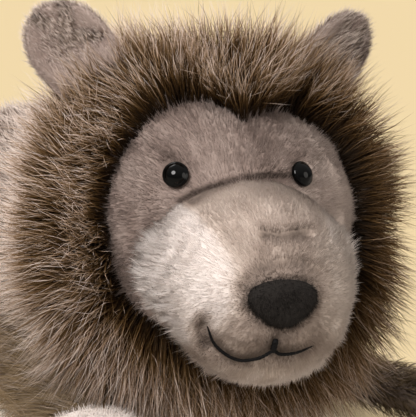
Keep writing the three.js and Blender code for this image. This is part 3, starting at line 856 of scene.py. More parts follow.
def face_tone(points):
    """Taupe with brush marks painted in as sheen, paler to the sides.

    The near side is a little paler; the far side from the key lamp is much paler, which is painted light.
    Painted shadow darkens the cloth above the eyes, and painted shade the brow seam.
    """
    flat = (points - HEAD)[:, [0, 2]]
    # The brush marks are painted sheen: light and dark streaks of pile brushed different ways.
    brushed = waves(points, *BROAD_BRUSH) + waves(points * BRUSH_STRETCH, *FINE_BRUSH)
    tone = FACE_TONE + PAINTED_BRUSH_SHEEN * brushed + stepped(flat[:, 0], FACE_SIDE_STEPS_AND_FAR_LIGHT)
    return tone - grooves(BROW_SEAM_SHADE, flat) - spots(EYE_SOCKET_SHADOWS, flat)


def muzzle_tone(points):
    """Cream cheeks and chin beside a taupe bridge; the cheek's edge is nearest the middle by the nose.

    Painted shade darkens the far cheek, the creases, the dimple, the brow seam, the mouth, the lip and a ring
    round the nose; painted light brightens the chin.
    """
    flat = (points - HEAD)[:, [0, 2]]
    across, high = flat.T
    edge = CHEEK_EDGE + CHEEK_CURVE * (high - CHEEK_MIDDLE) ** 2
    cheek = soft_step(np.abs(across) - edge, *CHEEK_FADE)
    tone = BRIDGE_TONE + (CHEEK_PALER + stepped(across, PAINTED_FAR_CHEEK_SHADE)) * cheek
    tone += stepped(high, CHIN_LIGHT_AND_BRIDGE_STEPS) + MUZZLE_MOTTLING * waves(points, *MUZZLE_PATTERN)
    by_nose = round_nose(flat, NOSE_SHADE_REACH, NOSE_SHADE_WIDTH)
    shaded = spots(PAINTED_LIP_SHADE, flat) + NOSE_SHADE * by_nose
    return tone - grooves(MUZZLE_CREASE_SHADES, flat) - shaded


# %% Face, muzzle and mane skins
MANE_SWELL, MANE_SWELL_BEHIND = 0.10, (0.0, 30.0)
FACE_OVERLAP, MANE_OVERLAP = np.radians([2.5, 7])


def past_hairline(points):
    """How many degrees behind the hairline each point is, as seen from the middle of the skull."""
    shape = unit((points - HEAD) / SKULL)
    polar = np.arccos(np.clip(-shape[:, 1], -1, 1))
    return np.degrees(polar - hairline(np.arctan2(shape[:, 2], shape[:, 0])))


def face_skin():
    """The face panel: the skull from its front pole to just past the hairline."""
    halves = SKULL - PANEL_INSET
    rings = egg_grid(halves, HEAD, 6, lambda around: hairline(around) + FACE_OVERLAP, rows=60, columns=160)
    return sewn(spread(rings), HEAD - halves[1] * BACKWARD, HEAD)


def muzzle_skin():
    """The muzzle panel: its egg, shaped by the mouth, the nose and the creases, closed inside the skull."""
    centre = HEAD + MUZZLE_CENTRE
    halves = MUZZLE - PANEL_INSET
    rings = egg_grid(halves, centre, 1.5, 112, rows=126, columns=190)
    smooth = rings.reshape(-1, 3)
    normals = egg_normals(smooth, halves, centre)
    rings = (smooth + normals * muzzle_shape(smooth)[:, None]).reshape(rings.shape)
    return sewn(rings, centre - halves[1] * BACKWARD, centre)


def mane_skin():
    """The ground of the mane: the skull from under the face panel to its back pole, swelling behind."""
    halves = SKULL - 2 * PANEL_INSET
    rings = egg_grid(halves, HEAD, lambda around: hairline(around) - MANE_OVERLAP, 176, rows=60, columns=120)
    behind = past_hairline(rings.reshape(-1, 3)).reshape(rings.shape[:2])
    swell = 1 + MANE_SWELL * soft_step(behind, *MANE_SWELL_BEHIND)
    rings = HEAD + (rings - HEAD) * swell[..., None]
    return sewn(spread(rings), HEAD, HEAD + halves[1] * (1 + MANE_SWELL) * BACKWARD)


face = face_skin()
muzzle = muzzle_skin()
mane = mane_skin()
put_plush("face_plush", face, face_cloth, "head", face_tone(face.points),
          ("face_panel", "head_stuffing"))
put_plush("muzzle_plush", muzzle, muzzle_cloth, "head", muzzle_tone(muzzle.points),
          ("muzzle_panel",))
put_plush("mane_plush", mane, mane_cloth, "head", 0.5, ("mane_skin",))
print("muzzle points:", len(muzzle.points))

# %% [markdown]
# ## Clipped pile on the face
#
# Short pile lies away from a whorl: back over the cheeks, up the bridge and over the brow seam, where its
# tips make the pale fuzzy edge. One straight spike a hair is enough at this length. Hairs are cut short at
# the stitches, the nose and the eyes, and beside the stitches and the nose they stand up, so that no bare
# cloth shows. At the rim of a panel the pile is longer and ragged. Both panels use one comb, with their own
# amounts.

# %% Short hairs
FACE_HAIRS, MUZZLE_HAIRS = 48000, 49000
SHORT_HAIR, SHORT_RANGE = 5.0, (0.7, 1.15)
MUZZLE_FRONT = -62.0
SKULL_COVERS, MUZZLE_COVERS, NOSE_COVERS = 0.97, 0.9, 0.93
FACE_RIM = (-8.0, 0.0)
MUZZLE_RIM_DEPTHS, MUZZLE_RIM_HEIGHTS = (-84.0, MUZZLE_FRONT), (16.0, -2.0)
EYE_CLEARING, MOUTH_CLEARING, LIP_CLEARING = (3.4, 5.0), (0.3, 1.4), (0.7, 2.0)
FACE_CUTS, MUZZLE_CUTS = [Mark(BROW_SEAM, 1.5, 0.4)], [Mark(BROW_SEAM, 2.0, 0.45)]
RAISED_BESIDE, RAISED_BY_NOSE = [(MOUTH, 4.0), (LIP, 4.0), (DIMPLE, 6.0)], 0.25
RAISED_AT_BROW = [Mark(BROW_SEAM, 5.0, 0.8)]
Lay = namedtuple("Lay", "lift raised flow lean jitter rim_lift rim_tuft")
Panel = namedtuple("Panel", "cut whorl lean tuft start end fringe radii rim_radii tone tone_chance rim_tone")


def face_cut(roots):
    """For each root: how near the rim it is, how far its hair is raised and the share that isn't cut off."""
    flat = (roots - HEAD)[:, [0, 2]]
    rim = soft_step(past_hairline(roots), *FACE_RIM)
    left_over = 1 - grooves(FACE_CUTS, flat)
    for place in EYES.values():
        left_over *= soft_step(np.hypot(*(flat - place).T), *EYE_CLEARING)
    return rim, 0.0, left_over


def muzzle_cut(roots):
    """The same for the muzzle, whose rim is at the cheeks and the chin."""
    local = roots - HEAD
    flat = local[:, [0, 2]]
    front = local[:, 1] < MUZZLE_FRONT
    rim = soft_step(local[:, 1], *MUZZLE_RIM_DEPTHS) * soft_step(flat[:, 1], *MUZZLE_RIM_HEIGHTS)
    sunken = [groove(curve, flat, width) for curve, width in RAISED_BESIDE]
    sunken.append(round_nose(flat, NOSE_SEAM, RAISED_BY_NOSE))
    raised = np.maximum(front * np.max(sunken, axis=0), grooves(RAISED_AT_BROW, flat))
    by_mouth = soft_step(distance_to(MOUTH, flat), *MOUTH_CLEARING)
    by_lip = soft_step(distance_to(LIP, flat), *LIP_CLEARING)
    left_over = np.where(front, np.minimum(by_mouth, by_lip) * (nose_reach(flat) > NOSE_COVERS), 1.0)
    return rim, raised, left_over * (1 - grooves(MUZZLE_CUTS, flat))


def clipped_comb(panel):
    """A comb for one panel of clipped pile, brushed away from its whorl, with a ragged fringe at its rim."""
    def comb(roots, normals, rng):
        count = len(roots)
        rim, raised, left_over = panel.cut(roots)
        jitter = rng.normal(size=(count, 3))
        lean, tuft = (waves(roots, *pattern, parts=3) for pattern in (panel.lean, panel.tuft))
        ways = (normals, tangent(normals, roots - HEAD - panel.whorl), lean, jitter, tuft)
        starts, ends = (
            blend(ways, (
                lay.lift + lay.raised * raised + lay.rim_lift * rim,
                lay.flow,
                lay.lean,
                lay.jitter,
                lay.rim_tuft * rim,
            ))
            for lay in (panel.start, panel.end)
        )
        lengths = SHORT_HAIR * rng.uniform(*SHORT_RANGE, count) * left_over
        lengths *= 1 + rim * rng.uniform(*panel.fringe, count)
        radii = rng.uniform(*panel.radii, count) * (1 + panel.rim_radii * rim)
        tones = panel.tone(roots) + panel.tone_chance * rng.normal(size=count) + panel.rim_tone * rim
        return starts, ends, lengths, radii, tones
    return comb


def outside_skull(points):
    """1 where a point of the muzzle lies outside the skull, 0 where it is hidden in it."""
    return (np.sum(((points - HEAD) / SKULL) ** 2, axis=1) > SKULL_COVERS).astype(float)


def outside_muzzle(points):
    """1 where a point of the face lies outside the muzzle, 0 where the muzzle covers it."""
    return (np.sum(((points - HEAD - MUZZLE_CENTRE) / MUZZLE) ** 2, axis=1) > MUZZLE_COVERS).astype(float)


FACE_PANEL = Panel(
    cut=face_cut, whorl=np.array([-4.0, -60.0, 8.0]),
    lean=Pattern(20.0, 11), tuft=Pattern(3.5, 12),
    start=Lay(lift=0.50, raised=0.0, flow=0.8, lean=0.07, jitter=0.05, rim_lift=0.2, rim_tuft=0.12),
    end=Lay(lift=0.25, raised=0.0, flow=1.0, lean=0.10, jitter=0.06, rim_lift=0.2, rim_tuft=0.30),
    fringe=(-0.2, 1.5), radii=(0.09, 0.16), rim_radii=0.4, tone=face_tone, tone_chance=0.10, rim_tone=0.06,
)
MUZZLE_PANEL = Panel(
    cut=muzzle_cut, whorl=np.array([NOSE_CENTRE[0], -98.0, NOSE_CENTRE[1]]),
    lean=Pattern(18.0, 21), tuft=Pattern(4.5, 22),
    start=Lay(lift=0.42, raised=0.7, flow=0.8, lean=0.06, jitter=0.04, rim_lift=0.40, rim_tuft=0.15),
    end=Lay(lift=0.18, raised=0.5, flow=1.0, lean=0.08, jitter=0.05, rim_lift=0.45, rim_tuft=0.35),
    fringe=(-0.2, 1.3), radii=(0.11, 0.18), rim_radii=0.5, tone=muzzle_tone, tone_chance=0.03, rim_tone=0.15,
)
fur("face_fur", face_pile, "head", face, outside_muzzle, FACE_HAIRS, clipped_comb(FACE_PANEL),
    rings=1, seed=31)
fur("muzzle_fur", muzzle_pile, "head", muzzle, outside_skull, MUZZLE_HAIRS,
    clipped_comb(MUZZLE_PANEL), rings=1, seed=32)

# %% [markdown]
# ## Nose, mouth and eyes
#
# The nose is a felt pad: rings of its outline, crowned towards the camera and tucked into the cloth at the
# edge, with a nap of very short hairs. The mouth is a two-ply thread, so its round section is a little
# pinched and the pinch winds along it. An eye is a turned bead with a rim round its dome, on a shank that
# goes through the cloth.

# %% Nose
NOSE_CROWN, NOSE_TUCK = 4.7, 1.2
NOSE_RIM_DEPTH, NOSE_FOOT_DEPTH = 4.0, 6.0
NOSE_RINGS, NOSE_SIDES, NOSE_FIRST_RING = 22, 72, 0.06
NOSE_BACK = -312.0
NOSE_HAIRS, NOSE_NAP = 4000, (1.4, 2.4)
NOSE_BRUSH = np.array([-0.5, 0.0, -1.0])
NAP_TONE, NAP_CHANCE = 0.36, 0.34
NAP_WAVER, NAP_PATTERN = 0.3, Pattern(14.0, 34)
NAP_START, NAP_END, NAP_RADII = (1.0, 0.4, 0.2), (0.6, 1.0, 0.3), (0.10, 0.18)


def nose_skin():
    """Rings at share r of the outline, NOSE_CROWN * sqrt(1 - r**4) - NOSE_TUCK proud of the muzzle."""
    share = np.sin(np.linspace(NOSE_FIRST_RING, np.pi / 2, NOSE_RINGS))
    flat = NOSE_CENTRE + share[:, None, None] * NOSE_HALVES * nose_edge(turns(NOSE_SIDES))
    proud = NOSE_CROWN * np.sqrt(1 - share ** 4) - NOSE_TUCK
    rings = muzzle_front(flat) - proud[:, None, None] * BACKWARD
    rim = muzzle_front(flat[-1:]) + NOSE_RIM_DEPTH * BACKWARD
    middle = muzzle_front(NOSE_CENTRE)
    front = middle - (NOSE_CROWN - NOSE_TUCK) * BACKWARD
    return sewn(np.concatenate([rings, rim]), front, middle + NOSE_FOOT_DEPTH * BACKWARD)


def nose_front(points):
    """1 on the part of the nose that stands out of the cloth."""
    return (points[:, 1] < NOSE_BACK).astype(float)


def comb_nose(roots, normals, rng):
    """Felt nap: very short, brushed down and a little to the side."""
    count = len(roots)
    jitter = rng.normal(size=(count, 3))
    brushed = tangent(normals, NOSE_BRUSH) + NAP_WAVER * waves(roots, *NAP_PATTERN, parts=3)
    lengths = rng.uniform(*NOSE_NAP, count) + HAIR_SUNK
    tones = NAP_TONE + NAP_CHANCE * rng.normal(size=count)
    ways = (normals, brushed, jitter)
    return blend(ways, NAP_START), blend(ways, NAP_END), lengths, rng.uniform(*NAP_RADII, count), tones


nose = nose_skin()
put_plush("nose_pad", nose, nose_felt, "head", None, ("nose",))
fur("nose_nap", felt_nap, "head", nose, nose_front, NOSE_HAIRS, comb_nose, rings=1, seed=33)

# %% Mouth
THREAD_RADIUS, LIP_RADIUS = 0.75, 1.35
THREAD_SIDES, THREAD_END = 12, 0.4
PLY_PITCH, PLY_DEPTH = 3.2, 0.10


def thread_skin(curve, radius, out, taper, rows):
    """A two-ply thread along a curve on the muzzle.

    Its radius is radius * (1 + PLY_DEPTH * cos(2 * (turn - winding))), less towards both ends by the taper.
    """
    share = np.linspace(0, 1, rows)
    path = muzzle_front(through(curve, share)) - out * BACKWARD
    along = unit(np.gradient(path, axis=0))
    across = unit(np.cross(along, BACKWARD))
    travelled = np.concatenate([[0], np.cumsum(np.linalg.norm(np.diff(path, axis=0), axis=1))])
    winding = 2 * np.pi * travelled / PLY_PITCH
    thinned = 1 - taper * np.abs(2 * share - 1) ** 6
    width = radius * thinned[:, None] * (1 + PLY_DEPTH * np.cos(2 * (turns(THREAD_SIDES) - winding[:, None])))
    rings = path[:, None] + width[..., None] * circles(across, np.cross(along, across), THREAD_SIDES)
    return sewn(rings, path[0] - THREAD_END * along[0], path[-1] + THREAD_END * along[-1])


mouth_thread = thread_skin(MOUTH, THREAD_RADIUS, out=0.2, taper=0.6, rows=240)
lip_thread = thread_skin(LIP, LIP_RADIUS, out=0.5, taper=0.35, rows=40)
stitches = joined(mouth_thread, lip_thread)
mouth = put_in_scene("mouth_stitches", stitches, thread_satin, "head")
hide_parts("mouth_thread")

# %% Eyes
EYE_PROFILE = np.array([
    [2.2, -9.8], [2.2, -0.4], [5.2, 0.0], [5.8, 0.5], [6.0, 1.2], [5.9, 1.9], [5.6, 2.5], [5.25, 2.75],
    [5.0, 2.85], [4.7, 3.2], [4.2, 3.75], [3.5, 4.3], [2.6, 4.75], [1.6, 5.05], [0.7, 5.18],
])
EYE_TOP, EYE_SIDES = 5.2, 48
EYE_SUNK = 1.4


def eye_skin(place):
    """The bead: its profile of radius and height turned about the skull's normal, sunk in the pile."""
    x, z = place
    y = -SKULL[1] * np.sqrt(1 - (x / SKULL[0]) ** 2 - (z / SKULL[2]) ** 2)
    surface = HEAD + np.array([x, y, z])
    outward = egg_normals(surface, SKULL, HEAD)
    seat = surface - EYE_SUNK * outward
    across = unit(np.cross(UPWARD, outward))
    circle = circles(across, np.cross(outward, across), EYE_SIDES)
    rings = seat + EYE_PROFILE[:, None, :1] * circle + EYE_PROFILE[:, None, 1:] * outward
    return sewn(rings, seat + EYE_PROFILE[0, 1] * outward, seat + EYE_TOP * outward)


for name, place in EYES.items():
    bead = put_in_scene(f"{name}_eye_bead", eye_skin(place), bead_gloss, "head")
    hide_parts(f"{name}_eye")
    washer = frame["nodes"][f"{name}_eye_washer"]
    washer.data.materials.clear()
    washer.data.materials.append(washer_plastic)
print("stitch triangles:", len(stitches.triangles))

# %% [markdown]
# ## The mane
#
# The mane's long hairs stand up from the cloth and fall outwards, and their tips tangle. Four rows are made:
# the first beside the hairline, where dark roots show against the face, then two over the sides, and the last
# at the back of the head. They are longest under the chin and before the ears, whose feet they hide. Pale
# guard hairs stand over a darker undercoat, and there are more of them towards the outer edge. A few strays
# cross the others, which keeps the edge wispy.

# %% Mane hairs
MANE_HAIR, MANE_RANGE = 35.0, (0.75, 1.08)
HAIRS_IN_MANE_LOCK = 18
Row = namedtuple("Row", "name first last hairs rings")
MANE_ROWS = [
    Row("mane_front_fur", -1.0, 12.0, 12400, 3),
    Row("mane_side_fur", 12.0, 28.0, 12400, 3),
    Row("mane_crown_fur", 28.0, 56.0, 12400, 3),
    Row("mane_back_fur", 56.0, 130.0, 10500, 2),
]
GUARD_BEHIND, GUARD_SHARES = (8.0, 45.0), (0.26, 0.58)
GUARD_RADII, GUARD_TONE, GUARD_STEPS = (0.22, 0.34), 0.46, [(0.08, 20.0, 50.0)]
UNDERCOAT_LENGTH, UNDERCOAT_RADII, UNDERCOAT_TONE = 0.75, (0.18, 0.28), 0.28
UNDERCOAT_STEPS = [(-0.26, 2.0, 10.0), (0.22, 25.0, 60.0)]
STRAY_SHARE, STRAYS_BEHIND, STRAY_TONE = 0.04, 6.0, 0.10
LONGER_ABOVE, LONGER_BELOW, LONGER_BY_EARS, LONGER_LEFT_BELOW = 0.12, 0.75, 0.2, 0.25
BY_EARS_REACH, LEFT_FACING = 0.12, (0.0, 0.4)
HAIRLINE_LENGTH, HAIRLINE_LENGTH_STEPS = 0.85, [(0.15, 0.0, 8.0)]
CROWN_PALER, CROWN_FADE = 0.22, (14.0, 4.0)
# Painted light on the hairs facing the key lamp, and painted shade on the far side.
LIT_SIDE, PAINTED_LIGHT_BELOW, PAINTED_LIGHT_STEPS = (0.2, -0.3), 0.26, [(0.20, 18.0, 40.0)]
SHADED_SIDE, PAINTED_SIDE_SHADE = (0.2, 0.9), 0.15
MANE_CHANCE, MANE_LOCK_CHANCE = 0.13, 0.06
MANE_LIES_BEHIND, STRAY_TANGLE, MANE_TANGLE = (12.0, 75.0), 0.6, 0.17
MANE_DRIFT, MANE_DROOP = Pattern(40.0, 42), 0.12
RIGHT_LIFT, RIGHT_FACING, RIGHT_LIFT_REACH = 0.35, (-0.3, -0.9), 30.0
Sweep = namedtuple("Sweep", "lift lying_lift flow lying_flow drift jitter tangle shared inward")
MANE_START = Sweep(
    lift=1.0, lying_lift=0.0, flow=0.22, lying_flow=0.40, drift=0.16, jitter=0.10, tangle=0.0,
    shared=0.08, inward=0.0,
)
MANE_END = Sweep(
    lift=1.0, lying_lift=-0.5, flow=0.15, lying_flow=0.8, drift=0.25, jitter=0.0, tangle=1.0,
    shared=0.18, inward=1.5,
)


def before_ears(roots):
    """1 at roots in line with the foot of an ear from the middle of the head, falling to 0 beside it."""
    feet = unit(np.stack([pivots["right_ear_fold"], pivots["left_ear_fold"]]) - HEAD)
    return np.exp(-((1 - np.max(unit(roots - HEAD) @ feet.T, axis=1)) / BY_EARS_REACH) ** 2)


def mane_length(roots, normals, behind):
    """The length of each hair before chance: shorter at the hairline, longest under the chin."""
    above, below = np.clip(normals[:, 2], 0, 1), np.clip(-normals[:, 2], 0, 1)
    share = 1 + LONGER_ABOVE * above + LONGER_BELOW * below + LONGER_BY_EARS * before_ears(roots)
    share *= 1 + LONGER_LEFT_BELOW * below * soft_step(normals[:, 0], *LEFT_FACING)
    return MANE_HAIR * share * (HAIRLINE_LENGTH + stepped(behind, HAIRLINE_LENGTH_STEPS))


def mane_tone(normals, behind, guard):
    """The tone of each hair before chance: dark behind the hairline and paler outwards.

    Painted light makes the hairs on the key lamp's side paler, most below, and painted shade darkens the far
    side.
    """
    above, below = np.clip(normals[:, 2], 0, 1), np.clip(-normals[:, 2], 0, 1)
    undercoat = UNDERCOAT_TONE + stepped(behind, UNDERCOAT_STEPS)
    undercoat += CROWN_PALER * above * soft_step(behind, *CROWN_FADE)
    tone = np.where(guard, GUARD_TONE + stepped(behind, GUARD_STEPS), undercoat)
    lit, shaded = soft_step(normals[:, 0], *LIT_SIDE), soft_step(normals[:, 0], *SHADED_SIDE)
    return tone + lit * (PAINTED_LIGHT_BELOW * below + stepped(behind, PAINTED_LIGHT_STEPS)) - PAINTED_SIDE_SHADE * shaded


def comb_mane(roots, normals, rng):
    """Mane hair: upright beside the face, lying back behind it and lifted a little at the right side.

    Long pale-tipped guard hairs stand in locks over a shorter dark undercoat, and some strays cross them.
    """
    count = len(roots)
    behind = past_hairline(roots)
    inward, shared = locks(roots, count // HAIRS_IN_MANE_LOCK, rng)
    jitter = rng.normal(size=(count, 3))
    guard = rng.uniform(size=count) < np.interp(behind, GUARD_BEHIND, GUARD_SHARES)
    stray = (rng.uniform(size=count) < STRAY_SHARE) & (behind > STRAYS_BEHIND)
    lengths = rng.uniform(*MANE_RANGE, count) * mane_length(roots, normals, behind)
    lengths *= np.where(guard, 1.0, UNDERCOAT_LENGTH)
    lying, tangled = soft_step(behind, *MANE_LIES_BEHIND), np.where(stray, STRAY_TANGLE, MANE_TANGLE)
    drift = waves(roots, *MANE_DRIFT, parts=3)
    ways = (normals, tangent(normals, BACKWARD), drift, jitter, shared, inward)
    starts, ends = (
        blend(ways, (
            sweep.lift + sweep.lying_lift * lying,
            sweep.flow + sweep.lying_flow * lying,
            sweep.drift,
            sweep.jitter + sweep.tangle * tangled,
            sweep.shared,
            sweep.inward / lengths,
        ))
        for sweep in (MANE_START, MANE_END)
    )
    level = np.exp(-((roots[:, 2] - HEAD[2]) / RIGHT_LIFT_REACH) ** 2)
    ends[:, 2] += RIGHT_LIFT * level * soft_step(normals[:, 0], *RIGHT_FACING) - MANE_DROOP
    radii = np.where(guard, rng.uniform(*GUARD_RADII, count), rng.uniform(*UNDERCOAT_RADII, count))
    tones = mane_tone(normals, behind, guard) + MANE_CHANCE * rng.normal(size=count)
    return starts, ends, lengths, radii, tones + MANE_LOCK_CHANCE * shared[:, 0] + STRAY_TONE * stray


def in_row(row):
    """A weight that keeps the hairs of one row."""
    def weight(points):
        behind = past_hairline(points)
        return ((behind >= row.first) & (behind < row.last)).astype(float)
    return weight


for seed, row in enumerate(MANE_ROWS, start=51):
    fur(row.name, mane_hair, "head", mane, in_row(row), row.hairs, comb_mane, row.rings, seed)

# %% [markdown]
# ## Combing long pile
#
# The coat of the body, the tail and the backs of the ears is one pile, cut to different lengths, and the legs
# have a browner one. A comb gives each hair the way it leaves the cloth and the way its tip lies, from the
# direction in which that piece is brushed.

# %% Coat combs
HAIRS_IN_LOCK = 14
COAT_RANGE, COAT_CHANCE, COAT_LOCK_CHANCE = (0.7, 1.1), 0.15, 0.10
Brush = namedtuple("Brush", "lift flow jitter shared inward")
COAT_START = Brush(lift=1.0, flow=0.0, jitter=0.14, shared=0.10, inward=0.0)
COAT_END = Brush(lift=0.35, flow=0.5, jitter=0.18, shared=0.25, inward=1.5)


def at(value, roots):
    """A value at each root, where it may be one number for all of them."""
    return value(roots) if callable(value) else value


def coat_comb(flow, length, lay, tone, radii, mixed=1.0):
    """A comb for long pile, brushed along flow. Its length and its tone may change from root to root.

    It lies flatter as lay grows, and its locks and tones are less even as mixed grows.
    """
    def comb(roots, normals, rng):
        count = len(roots)
        inward, shared = locks(roots, count // HAIRS_IN_LOCK, rng)
        jitter = rng.normal(size=(count, 3))
        lengths = at(length, roots) * rng.uniform(*COAT_RANGE, count)
        ways = (normals, tangent(normals, flow), jitter, shared, inward)
        starts, ends = (
            blend(ways, (
                brush.lift,
                brush.flow + lay,
                brush.jitter,
                brush.shared * mixed,
                brush.inward * mixed / lengths,
            ))
            for brush in (COAT_START, COAT_END)
        )
        chance = COAT_CHANCE * rng.normal(size=count) + COAT_LOCK_CHANCE * shared[:, 0]
        tones = at(tone, roots) + mixed * chance
        return starts, ends, lengths, rng.uniform(*radii, count), tones
    return comb


def everywhere(points):
    """The same weight at every point."""
    return np.ones(len(points))


# %% [markdown]
# ## Ears
#
# An ear is a flat egg in two cloths: a furry back, and a cupped lining in the face's cloth with a few folds.
# Its own axes run across, back and up, and it stands close to the pivot on which it folds.

# %% Ears
EAR = np.array([22.0, 9.0, 24.0])
EAR_INSET = np.array([3.0, 3.0, 2.0])
EAR_LIFTS = {"right": 2.5, "left": -1.5}
EAR_MIDDLE = np.array([0.0, 0.0, 13.0])
EAR_UPWARD = np.array([0.651, 0.075, 0.755])
EAR_TURN = np.radians(28)
EAR_CUP, EAR_CUP_HEIGHT, EAR_CUP_DEPTH = np.array([16.5, 18.0]), 16.0, 6.0
EAR_FOLDS = [
    [[11.0, 33.0], [8.0, 27.0], [5.0, 22.0]],
    [[-5.5, 37.0], [-4.0, 33.0], [-2.5, 29.0]],
    [[4.0, 16.5], [9.0, 13.0], [14.0, 9.0]],
]
EAR_FOLD_WIDTH, EAR_FOLD_DEPTH, EAR_FOLD_BACK = 3.2, 3.5, -1.0
EAR_FOOT_SHARE = 0.75
# Painted shade at the outer edge of each lining, deepest on the left ear, which faces away from the key lamp.
EAR_PAINTED_SHADES = {
    "right": [Spot((-9.0, 17.0), (10.0, 14.0), 0.15)],
    "left": [Spot((-9.0, 17.0), (10.0, 14.0), 0.75)],
}
# CUP_SHADE and FOLD_SHADE are painted shade in the hollow and the folds.
LINING_TONE, CUP_SHADE, FOLD_SHADE = 0.74, 0.12, 0.42
EAR_HAIR, LINING_HAIR = 7.0, 4.5
EAR_HAIRS, LINING_HAIRS = 4000, 11000


def ear_axes(side):
    """The ear's across, back and up, as rows."""
    upward = unit(EAR_UPWARD * (side, 1, 1))
    facing = np.array([np.sin(side * EAR_TURN), -np.cos(side * EAR_TURN), 0.0])
    across = unit(np.cross(upward, facing))
    return np.stack([across, unit(np.cross(upward, across)), upward])


def ear_cup(local):
    """1 in the middle of the ear's hollow, falling to 0 at its rim."""
    high = (local[:, 2] - EAR_CUP_HEIGHT) / EAR_CUP[1]
    return np.clip(1 - (local[:, 0] / EAR_CUP[0]) ** 2 - high ** 2, 0, 1)


def ear_flat(local, side):
    """Places across and up the ear, mirrored from one ear to the other."""
    return local[:, [0, 2]] * (-side, 1)


def ear_folds(local, side):
    """1 along the folds inside the ear."""
    return np.max([groove(fold, ear_flat(local, side), EAR_FOLD_WIDTH) for fold in EAR_FOLDS], axis=0)


def ear_skins(side, foot):
    """The ear's back, from its rim to its rear pole, and its lining, from its front pole to the rim."""
    axes = ear_axes(side)
    halves = EAR - EAR_INSET
    back_rings = egg_grid(halves, EAR_MIDDLE, 90, 177, rows=24, columns=64)
    front_rings = egg_grid(halves, EAR_MIDDLE, 1, 90, rows=44, columns=96)
    local = front_rings.reshape(-1, 3)
    folded = ear_folds(local, side) * (local[:, 1] < EAR_FOLD_BACK)
    hollow = EAR_CUP_DEPTH * ear_cup(local) + EAR_FOLD_DEPTH * folded
    front_rings[..., 1] += hollow.reshape(front_rings.shape[:2])
    for rings in (back_rings, front_rings):
        low = np.clip((EAR_MIDDLE[2] - rings[..., 2]) / halves[2], 0, EAR_FOOT_SHARE)
        rings[..., 0] /= np.sqrt(1 - low ** 2)
    front_pole = foot + front_rings[0].mean(axis=0) @ axes
    rear_pole = foot + (EAR_MIDDLE + halves[1] * BACKWARD) @ axes
    rear = sewn(foot + back_rings @ axes, foot + EAR_MIDDLE @ axes, rear_pole)
    return rear, sewn(foot + front_rings @ axes, front_pole, rear_pole)


def lining_tone(side, foot, painted_shades):
    """An ear's inner tone with painted shade: a little in the hollow, dark in the folds and at its outer
    edge.
    """
    def tone(points):
        local = (points - foot) @ ear_axes(side).T
        painted_hollow_shade = CUP_SHADE * ear_cup(local) + FOLD_SHADE * ear_folds(local, side)
        return LINING_TONE - painted_hollow_shade - spots(painted_shades, ear_flat(local, side))
    return tone


for name, side in SIDES.items():
    axes = ear_axes(side)
    foot = pivots[f"{name}_ear_fold"] + EAR_LIFTS[name] * axes[2]
    rear, lining = ear_skins(side, foot)
    body = f"{name}_ear"
    inside = lining_tone(side, foot, EAR_PAINTED_SHADES[name])
    put_plush(f"{name}_ear_shell", rear, coat_cloth, body, 0.6, (f"{name}_ear_back",))
    put_plush(f"{name}_ear_inner", lining, face_cloth, body, inside(lining.points),
              (f"{name}_ear_lining",))
    rear_comb = coat_comb(axes[2] + 0.2 * axes[1], EAR_HAIR, lay=0.8, tone=0.8, radii=(0.11, 0.19), mixed=0.5)
    lining_comb = coat_comb(axes[2], LINING_HAIR, lay=1.2, tone=inside, radii=(0.09, 0.14), mixed=0.2)
    fur(f"{name}_ear_fur", coat_hair, body, rear, everywhere, EAR_HAIRS, rear_comb,
        rings=2, seed=61)
    fur(f"{name}_ear_lining_fur", face_pile, body, lining, everywhere, LINING_HAIRS,
        lining_comb, rings=1, seed=62)

# %% [markdown]
# ## Body, legs and tail
#
# Each is a stuffed form along one axis: half widths and half heights at even steps, swelling smoothly from
# one to the next, with a rounded cap at each end. The pile takes up the outer part of the frame's solid, so
# the cloth lies a little inside it. The legs and the body rest on the floor and are flat there.

# %% Stuffed forms
Form = namedtuple("Form", "length widths heights undersides facet start_cap end_cap")
LEG_FACET, BODY_FACET = np.cos(np.pi / 10), np.cos(np.pi / 16)
FLAT_DEPTH = 0.5
BODY = Form(
    280.0, [58, 73, 78, 81, 79, 64], [54, 60, 61.5, 62, 60.5, 53], [36, 13, 1, 0, 1, 4],
    BODY_FACET, 0.2, 0.36,
)
FORELEG = Form(
    238.0, [27, 26, 24, 23, 25, 24], [27, 20.5, 15, 14.5, 15.5, 15], [-34] * 6, LEG_FACET, 0.16, 0.14,
)
HINDLEG = Form(
    152.0, [33, 34, 30, 26, 26, 24], [33, 34, 28, 23, 21, 20], [-36] * 6, LEG_FACET, 0.25, 0.2,
)
TAIL = Form(165.0, [13, 20, 26, 27, 23, 15], [13, 19, 24, 25, 21, 14], None, 1.0, 0.12, 0.3)
BODY_FRONT = -160.0
NECK = pivots["neck_turn"]
NECK_RADIUS = 50.0
BODY_INSET, LEG_INSET, PAW_INSET, TAIL_INSET = 9.0, 7.0, 0.5, 9.0
PAW_LENGTH = 46.0
NEAR_FLOOR, FLOOR_HAIR_SHARE = 9.0, 0.15


def axis_heights(form, share):
    """How high the middle of a form is at each share of its length, so that its underside rests as given."""
    if form.undersides is None:
        return 0 * share
    middles = np.array(form.undersides) + np.array(form.heights) * form.facet - FLAT_DEPTH
    return through(middles, share)


